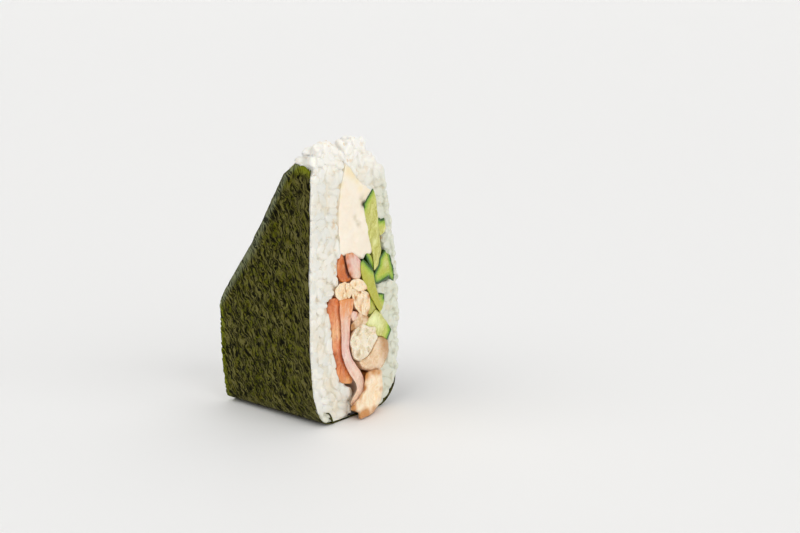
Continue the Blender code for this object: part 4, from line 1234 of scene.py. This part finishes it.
def bacon_finish(name, along_stops, fat_stops, light, deep):
    """Meat and fat bands across a slice, with colours that change along it and browned rims."""
    bacon = Finish(name)
    place = bacon.cut_place()
    grain = bacon.strands(place, 1.65, 11.0, 4.0)
    height, tone = grain.outputs["Height"], grain.outputs["Tone"]
    marble = bacon.noise(place, 3.2, 4.0, 0.6)
    meat = bacon.ramp(bacon.attribute("along"), *along_stops)
    meat = bacon.blend(bacon.ramp(marble, (0.46, 0.0), (0.68, 0.3)), meat, (0.86, 0.48, 0.30))
    meat = bacon.blend(bacon.ramp(height, (0.48, 0.0), (0.62, 0.5)), meat, light)
    meat = bacon.blend(bacon.ramp(height, (0.36, 0.45), (0.47, 0.0)), meat, deep)
    across = bacon.wobbled(bacon.attribute("across"), marble, 0.3)
    fat = bacon.sum("MULTIPLY", bacon.ramp(across, *fat_stops),
                    bacon.ramp(bacon.attribute("along"), (0.04, 0.0), (0.20, 1.0)))
    body = bacon.blend(fat, meat, (0.87, 0.70, 0.58))
    browned = bacon.sum("MULTIPLY", bacon.attribute("brown"), bacon.ramp(tone, (0.3, 0.6), (0.6, 1.0)))
    body = bacon.blend(browned, body, (0.60, 0.14, 0.012))
    # Painted shade: near-black in the crevice between slices and in gaps at their edges.
    body = bacon.blend(bacon.attribute("painted_gap_shade"), body, (0.085, 0.014, 0.006))
    bacon.shade(
        Base_Color=body,
        Roughness=bacon.ramp(marble, (0.4, 0.28), (0.62, 0.46)),
        Coat_Weight=0.25,
        Coat_Roughness=0.15,
        Subsurface_Weight=0.18,
        Subsurface_Radius=(1.0, 0.45, 0.3),
        Subsurface_Scale=0.001,
        Normal=bacon.bump(bacon.sum("ADD", height, marble), 0.6, 0.0004),
    )
    return bacon


pink_bacon = bacon_finish(
    "bacon",
    [(0.0, (0.84, 0.33, 0.085)), (0.10, (0.84, 0.32, 0.08)), (0.18, (0.82, 0.42, 0.25)),
     (0.34, (0.74, 0.41, 0.36)), (0.50, (0.80, 0.50, 0.45)), (0.66, (0.86, 0.58, 0.46)),
     (0.82, (0.86, 0.62, 0.46)), (1.0, (0.90, 0.70, 0.46))],
    [(0.12, 0.0), (0.30, 0.45), (0.55, 0.55), (0.7, 0.05), (0.9, 0.4)], (0.90, 0.70, 0.58), (0.62, 0.24, 0.15))
red_bacon = bacon_finish(
    "bacon_edge",
    [(0.0, (0.50, 0.08, 0.02)), (0.08, (0.70, 0.17, 0.045)), (0.22, (0.80, 0.26, 0.085)),
     (0.40, (0.88, 0.50, 0.24)), (0.55, (0.78, 0.20, 0.05)), (0.70, (0.54, 0.09, 0.016)),
     (0.82, (0.76, 0.22, 0.045)), (1.0, (0.92, 0.58, 0.24))],
    [(0.3, 0.0), (0.5, 0.2), (0.62, 0.0)], (0.90, 0.46, 0.20), (0.44, 0.07, 0.012))
# Painted shade: a near-black line along the crevice between the first two slices, and spots at the edges of
# slices.
SHADED_CREVICE = [(-5.6, 57.0), (-5.0, 55.0), (-4.6, 52.8), (-4.2, 51.0), (-3.2, 49.2)]
BACON_GAP_SHADE = [(-13.0, 42.4, 0.9, 0.6), (-10.2, 24.0, 0.8, 0.4), (-9.6, 21.6, 0.7, 0.4), (-2.6, 35.4, 0.6, 0.4)]
BACON_BROWN = [
    (-6.5, 14.5, 2.2, 0.6), (-9.0, 20.5, 2.0, 0.4), (0.6, 51.5, 2.4, 0.15), (-11.5, 40.5, 2.0, 0.5),
    (-7.1, 53.6, 1.9, 1.0), (-6.6, 50.2, 1.9, 0.9), (-3.7, 55.6, 1.1, 0.75), (-3.4, 52.8, 1.1, 0.8),
    (-2.4, 49.8, 1.2, 0.8), (-1.6, 56.2, 1.0, 0.5), (-8.2, 52.0, 1.0, 0.3), (-4.3, 40.4, 2.0, 0.35),
    (-1.8, 47.9, 1.4, 0.5), (-12.6, 42.6, 1.6, 0.9), (-7.6, 57.0, 1.4, 0.8), (-5.6, 55.0, 1.0, 1.0),
    (-5.0, 51.0, 1.3, 0.9), (-4.4, 48.6, 1.0, 0.7), (-10.4, 23.4, 1.2, 0.7), (-1.6, 40.6, 0.8, 0.5),
    (-10.8, 38.0, 1.2, 0.4)]


def bacon_masks(grid, chains):
    """The share along the rows, the share across them, and browning at the rim and in spots."""
    points, places, depth = grid
    rows = np.linspace(0, 1, points.shape[0])[:, None] * np.ones(points.shape[1])
    left, right = chains
    width = np.maximum(np.linalg.norm(right - left, axis=1), 0.3)[:, None]
    across = np.linalg.norm(places - left[:, None], axis=-1) / width
    front = np.arange(points.shape[1]) < FRONT_COLUMNS
    brown = 0.2 * np.exp(-depth / 0.3) * front + soft_spots(places, BACON_BROWN)
    # Painted shade in the crevice and at the slices' edges.
    painted_gap_shade = soft_spots(places, BACON_GAP_SHADE) + 1.1 * np.exp(-(away(places, SHADED_CREVICE) / 0.55) ** 2)
    return {"along": rows, "across": across, "brown": brown, "painted_gap_shade": painted_gap_shade}


for number, (name, spec) in enumerate(BACON.items()):
    chains = two_chains(spec["outline"], *spec["tips"], 110, True)
    grid = filling_grid(chains, spec["proud"], spec["edge"], 0.25, bacon_relief, wander=0.16, seed=70 + number)
    finish = red_bacon if spec["slot"] == "bacon_edge" else pink_bacon
    filling_piece(name, spec["slot"], finish, grid, bacon_masks(grid, chains))
chains = ribbon_chains(RIBBON["middle"], RIBBON["widths"], 170)
grid = filling_grid(chains, RIBBON["proud"], RIBBON["edge"], 0.05, bacon_relief, RIBBON["wave"], 0.14, 78)
filling_piece("bacon_4", "bacon", pink_bacon, grid, bacon_masks(grid, chains))

# %% [markdown]
# ## Chicken
#
# Roast chicken comes apart in strands, so its relief is ridges along one direction. The outside
# of the meat has browned, which shows as warm rims and corners; the breast piece in the middle is
# nearly white and crumbly.

# %% Chicken
CHICKEN = {
    "chicken_1": dict(
        outline=[(-8.1, 47.2), (-6.2, 47.3), (-4.8, 46.7), (-4.2, 42.4), (-5.7, 41.6), (-7.7, 42.2),
                 (-9.4, 45.1)],
        slot="chicken", proud=0.8, edge=0.32, tips=(0, 4), fibre=(1.5, 1.1, 0.28, 0.7),
        brown=[(-5.4, 42.0, 0.8, 0.4)]),
    "chicken_2": dict(
        outline=[(-4.5, 46.6), (-3.7, 47.0), (-2.3, 45.8), (-1.9, 44.0), (-3.0, 41.7), (-4.0, 43.5)],
        slot="chicken", proud=1.1, edge=0.3, tips=(1, 4), fibre=(1.4, 0.9, 0.25, 0.5),
        brown=[(-4.4, 44.4, 0.7, 0.6)]),
    "chicken_3": dict(
        outline=[(-3.0, 46.8), (-1.2, 47.4), (1.3, 46.9), (3.8, 45.7), (6.1, 43.2), (2.7, 43.6),
                 (-0.3, 44.9)],
        slot="chicken", proud=1.3, edge=0.3, tips=(0, 4), fibre=(-0.45, 1.0, 0.25, 0.6),
        brown=[(5.6, 43.4, 0.8, 0.4)]),
    "chicken_4": dict(
        outline=[(-1.5, 44.7), (0.7, 44.0), (5.2, 41.9), (6.7, 40.0), (7.0, 37.4), (5.7, 33.9), (3.2, 35.4),
                 (0.7, 38.0), (-1.1, 42.0)],
        slot="chicken", proud=0.9, edge=0.35, tips=(0, 5), fibre=(1.75, 1.0, 0.32, 0.9),
        brown=[(6.6, 40.4, 1.0, 0.7), (0.4, 41.0, 1.0, 0.6), (6.2, 35.0, 1.2, 0.6), (2.6, 36.6, 0.8, 0.4)]),
    "chicken_5": dict(
        outline=[(2.7, 36.2), (4.9, 34.4), (7.2, 32.3), (5.1, 31.5), (1.3, 31.1), (-1.8, 30.4), (-2.2, 32.2),
                 (0.2, 33.4)],
        slot="chicken_browned", proud=0.5, edge=0.4, tips=(2, 6), fibre=(0.9, 1.0, 0.3, 0.5),
        brown=[(4.6, 34.6, 1.4, 0.9), (6.6, 32.8, 1.2, 0.8), (-1.4, 31.2, 1.4, 1.0)]),
    "chicken_6": dict(
        outline=[(-1.5, 29.5), (1.1, 30.7), (3.6, 31.3), (7.2, 29.6), (9.9, 28.7), (10.2, 26.6), (11.0, 25.2),
                 (9.2, 23.4), (7.7, 21.5), (5.6, 19.7), (3.5, 18.9), (1.5, 19.2), (-0.5, 20.4), (-2.0, 22.9),
                 (-2.7, 25.5), (-2.5, 28.0)],
        slot="chicken_breast", proud=1.9, edge=1.1, tips=(2, 10), fibre=(1.1, 2.2, 0.35, 1.2),
        brown=[(-2.6, 23.6, 1.1, 0.7), (-2.2, 28.9, 0.9, 0.5), (9.9, 27.4, 0.9, 0.4),
               (2.4, 30.4, 0.8, 0.35)]),
    "chicken_7": dict(
        outline=[(12.7, 25.1), (14.4, 24.5), (16.0, 23.0), (16.7, 21.3), (16.4, 18.8), (14.4, 15.2),
                 (12.3, 14.1), (9.7, 13.8), (6.6, 14.3), (3.5, 15.6), (1.9, 17.4), (1.4, 18.6), (5.6, 19.1),
                 (7.9, 21.0), (9.8, 23.4), (11.3, 25.0)],
        slot="chicken_browned", proud=1.2, edge=1.5, tips=(0, 11), fibre=(0.6, 2.6, 0.15, 0.35),
        brown=[(15.8, 21.0, 3.8, 0.75), (13.6, 24.4, 1.8, 0.4), (15.4, 16.6, 1.8, 0.3),
               (11.0, 14.2, 1.4, 0.3)]),
    "chicken_8": dict(
        outline=[(5.0, 13.2), (8.0, 14.0), (12.6, 13.0), (13.3, 10.0), (13.3, 5.0), (11.6, 1.6), (9.0, -0.6),
                 (5.8, -2.3), (3.4, -2.6), (1.7, -1.7), (1.2, 1.0), (-2.2, 3.0), (1.9, 5.8), (4.2, 8.0),
                 (4.6, 10.8)],
        slot="chicken", proud=4.2, edge=1.7, tips=(1, 8), fibre=(1.75, 2.2, 0.35, 0.5),
        wave=[-0.9, -0.5, -0.2, 0.0, 0.2, 0.4, 0.5],
        brown=[(5.2, 12.6, 1.8, 0.9), (4.6, 8.6, 1.4, 0.7), (11.8, 12.4, 1.6, 0.6), (-1.2, 3.0, 1.8, 0.9),
               (4.4, -1.8, 2.8, 1.7), (12.6, 6.4, 1.2, 0.5), (9.4, 0.2, 1.6, 0.6), (2.6, 5.4, 1.2, 0.5),
               (9.0, 13.2, 1.6, 0.7)]),
}


def chicken_relief(spec, seed):
    """Ridges along the piece's own strands and soft lumps."""
    turn, fineness, strand_height, lump_height = spec["fibre"]

    def relief(places):
        lumps = layered_noise(flat_points(places), 2.3, 3, seed + 3)
        return strand_height * ridges(places, turn, fineness, 3.5, seed) + lump_height * lumps
    return relief


def chicken_finish(name, pale, warm, brown, turn, wet):
    """Strands of meat between a pale and a warm colour, browned by the piece's mask."""
    chicken = Finish(name)
    place = chicken.cut_place()
    fibre = chicken.strands(place, turn, 14.0, 4.5).outputs["Height"]
    cloud = chicken.noise(place, 2.4, 4.0, 0.6)
    streaks = chicken.sum("ADD", chicken.sum("MULTIPLY", fibre, 0.6), chicken.sum("MULTIPLY", cloud, 0.4))
    body = chicken.ramp(streaks, (0.42, warm), (0.53, pale))
    mask = chicken.wobbled(chicken.attribute("brown"), cloud, 0.5)
    body = chicken.blend(chicken.ramp(mask, (0.18, 0.0), (0.75, 0.9)), body, brown)
    chicken.shade(
        Base_Color=body,
        Roughness=chicken.ramp(cloud, (0.4, wet), (0.62, wet + 0.2)),
        Coat_Weight=0.25,
        Coat_Roughness=0.2,
        Subsurface_Weight=0.2,
        Subsurface_Radius=(1.0, 0.6, 0.35),
        Subsurface_Scale=0.0015,
        Normal=chicken.bump(fibre, 0.4, 0.0003),
    )
    return chicken


CHICKEN_LOOKS = {
    "chicken": ((0.96, 0.80, 0.59), (0.91, 0.66, 0.39), (0.56, 0.21, 0.022), 1.6, 0.34),
    "chicken_breast": ((0.91, 0.83, 0.67), (0.80, 0.67, 0.45), (0.74, 0.46, 0.20), 0.9, 0.36),
    "chicken_browned": ((0.86, 0.67, 0.47), (0.76, 0.52, 0.30), (0.47, 0.22, 0.06), 0.8, 0.22),
}
CHICKEN_FINISHES = {name: chicken_finish(name, *look) for name, look in CHICKEN_LOOKS.items()}
CLOSE_PIECES = 5
for number, (name, spec) in enumerate(CHICKEN.items()):
    growth = GROWTH + 0.25 * (number < CLOSE_PIECES)
    chains = two_chains(spec["outline"], *spec["tips"], 120, True, growth)
    grid = filling_grid(chains, spec["proud"], spec["edge"], 0.3, chicken_relief(spec, 80 + number),
                        spec.get("wave", 0.0), 0.2, 90 + number)
    front = np.arange(grid[0].shape[1]) < FRONT_COLUMNS
    brown = soft_spots(grid[1], spec["brown"]) + 0.25 * np.exp(-grid[2] / 0.45) * front + 0.4 * ~front
    filling_piece(name, spec["slot"], CHICKEN_FINISHES[spec["slot"]], grid, {"brown": brown})

# %% [markdown]
# ## The floor, the light and the camera
#
# The photograph is a bright studio shot on a seamless pale sweep: a soft light above and to the
# left, a lot of fill, and one faint soft shadow. A big curved sheet makes both floor and
# background, so no horizon shows. The camera stands about half a metre away and looks slightly
# down at the corner between the nori and the cut face.

# %% Floor
FLOOR_FRONT = -8.0
FLOOR_BACK = 9.0
FLOOR_RISE = 3.0
FLOOR_BEND = 3.0
VIEW_TURN = math.radians(-49.5)
FLOOR_GRID = (60, 3)
FLOOR_HALF_WIDTH = 7.0


def sweep(along, across):
    """The sweep's point: flat for the first part, then a quarter circle, then straight up."""
    bend = FLOOR_BACK - FLOOR_BEND
    angle = np.clip((along - bend) / FLOOR_BEND, 0, math.pi / 2)
    rise = np.maximum(along - bend - FLOOR_BEND * math.pi / 2, 0)
    forward = np.minimum(along, bend) + FLOOR_BEND * np.sin(angle)
    return np.stack([across, forward, FLOOR_BEND * (1 - np.cos(angle)) + rise], -1)


along, across = np.meshgrid(
    np.linspace(FLOOR_FRONT, FLOOR_BACK + FLOOR_RISE, FLOOR_GRID[0]),
    np.linspace(FLOOR_HALF_WIDTH, -FLOOR_HALF_WIDTH, FLOOR_GRID[1]), indexing="ij")
cosine, sine = math.cos(VIEW_TURN), math.sin(VIEW_TURN)
turn = np.array([[cosine, -sine, 0], [sine, cosine, 0], [0, 0, 1]])
paper = Finish("studio_sweep")
paper.shade(Base_Color=(0.905, 0.90, 0.89), Roughness=0.62, Specular_IOR_Level=0.2)
floor_points = (sweep(along, across) @ turn.T).reshape(-1, 3) * 1000 - CUT_ORIGIN
floor = make_piece("studio_floor", floor_points, grid_quads(*FLOOR_GRID), paper.material, merge=False)
print("floor faces up:", floor.data.polygons[0].normal.z > 0)

# %% Camera
CAMERA_PLACE = (-384.4, -347.9, 174.5)
CAMERA_AHEAD = (0.7604, 0.6494)
CAMERA_DIP = math.radians(13.29)
camera_data = bpy.data.cameras.new("camera")
camera_data.lens = 72
camera_data.sensor_width = 36
camera_data.clip_start = 0.01
camera = bpy.data.objects.new("camera", camera_data)
camera.location = to_frame(CAMERA_PLACE)
level = math.cos(CAMERA_DIP)
ahead = Vector((CAMERA_AHEAD[0] * level, CAMERA_AHEAD[1] * level, -math.sin(CAMERA_DIP)))
camera.rotation_euler = ahead.to_track_quat("-Z", "Y").to_euler()
bpy.context.scene.collection.objects.link(camera)
bpy.context.scene.camera = camera
bpy.context.scene.view_settings.view_transform = "Standard"
print("camera at", [round(v, 3) for v in camera.location])


# %% Lights
def wide_light(name, place, strength, spread_angle, colour=(1, 1, 1)):
    """A very soft light from one direction, as even as a large softbox far away. The place is
    relative to the camera's view: right, away from the camera and up."""
    data = bpy.data.lights.new(name, "SUN")
    data.energy = strength
    data.angle = math.radians(spread_angle)
    data.color = colour
    light = bpy.data.objects.new(name, data)
    light.location = Vector(np.array(place) @ turn.T)
    light.rotation_euler = (Vector((0, 0, 0)) - light.location).to_track_quat("-Z", "Y").to_euler()
    bpy.context.scene.collection.objects.link(light)


wide_light("key_softbox", (-0.7, -0.45, 1.1), 0.95, 60, (1.0, 0.995, 0.98))
wide_light("right_fill", (1.0, -1.0, 0.55), 1.42, 60, (1.0, 0.995, 0.985))
wide_light("top_softbox", (0.15, 0.5, 1.4), 0.42, 70)
world = bpy.data.worlds.new("studio_room")
world.use_nodes = True
background = world.node_tree.nodes["Background"]
background.inputs["Color"].default_value = (0.985, 0.99, 1.0, 1)
background.inputs["Strength"].default_value = 0.42
bpy.context.scene.world = world
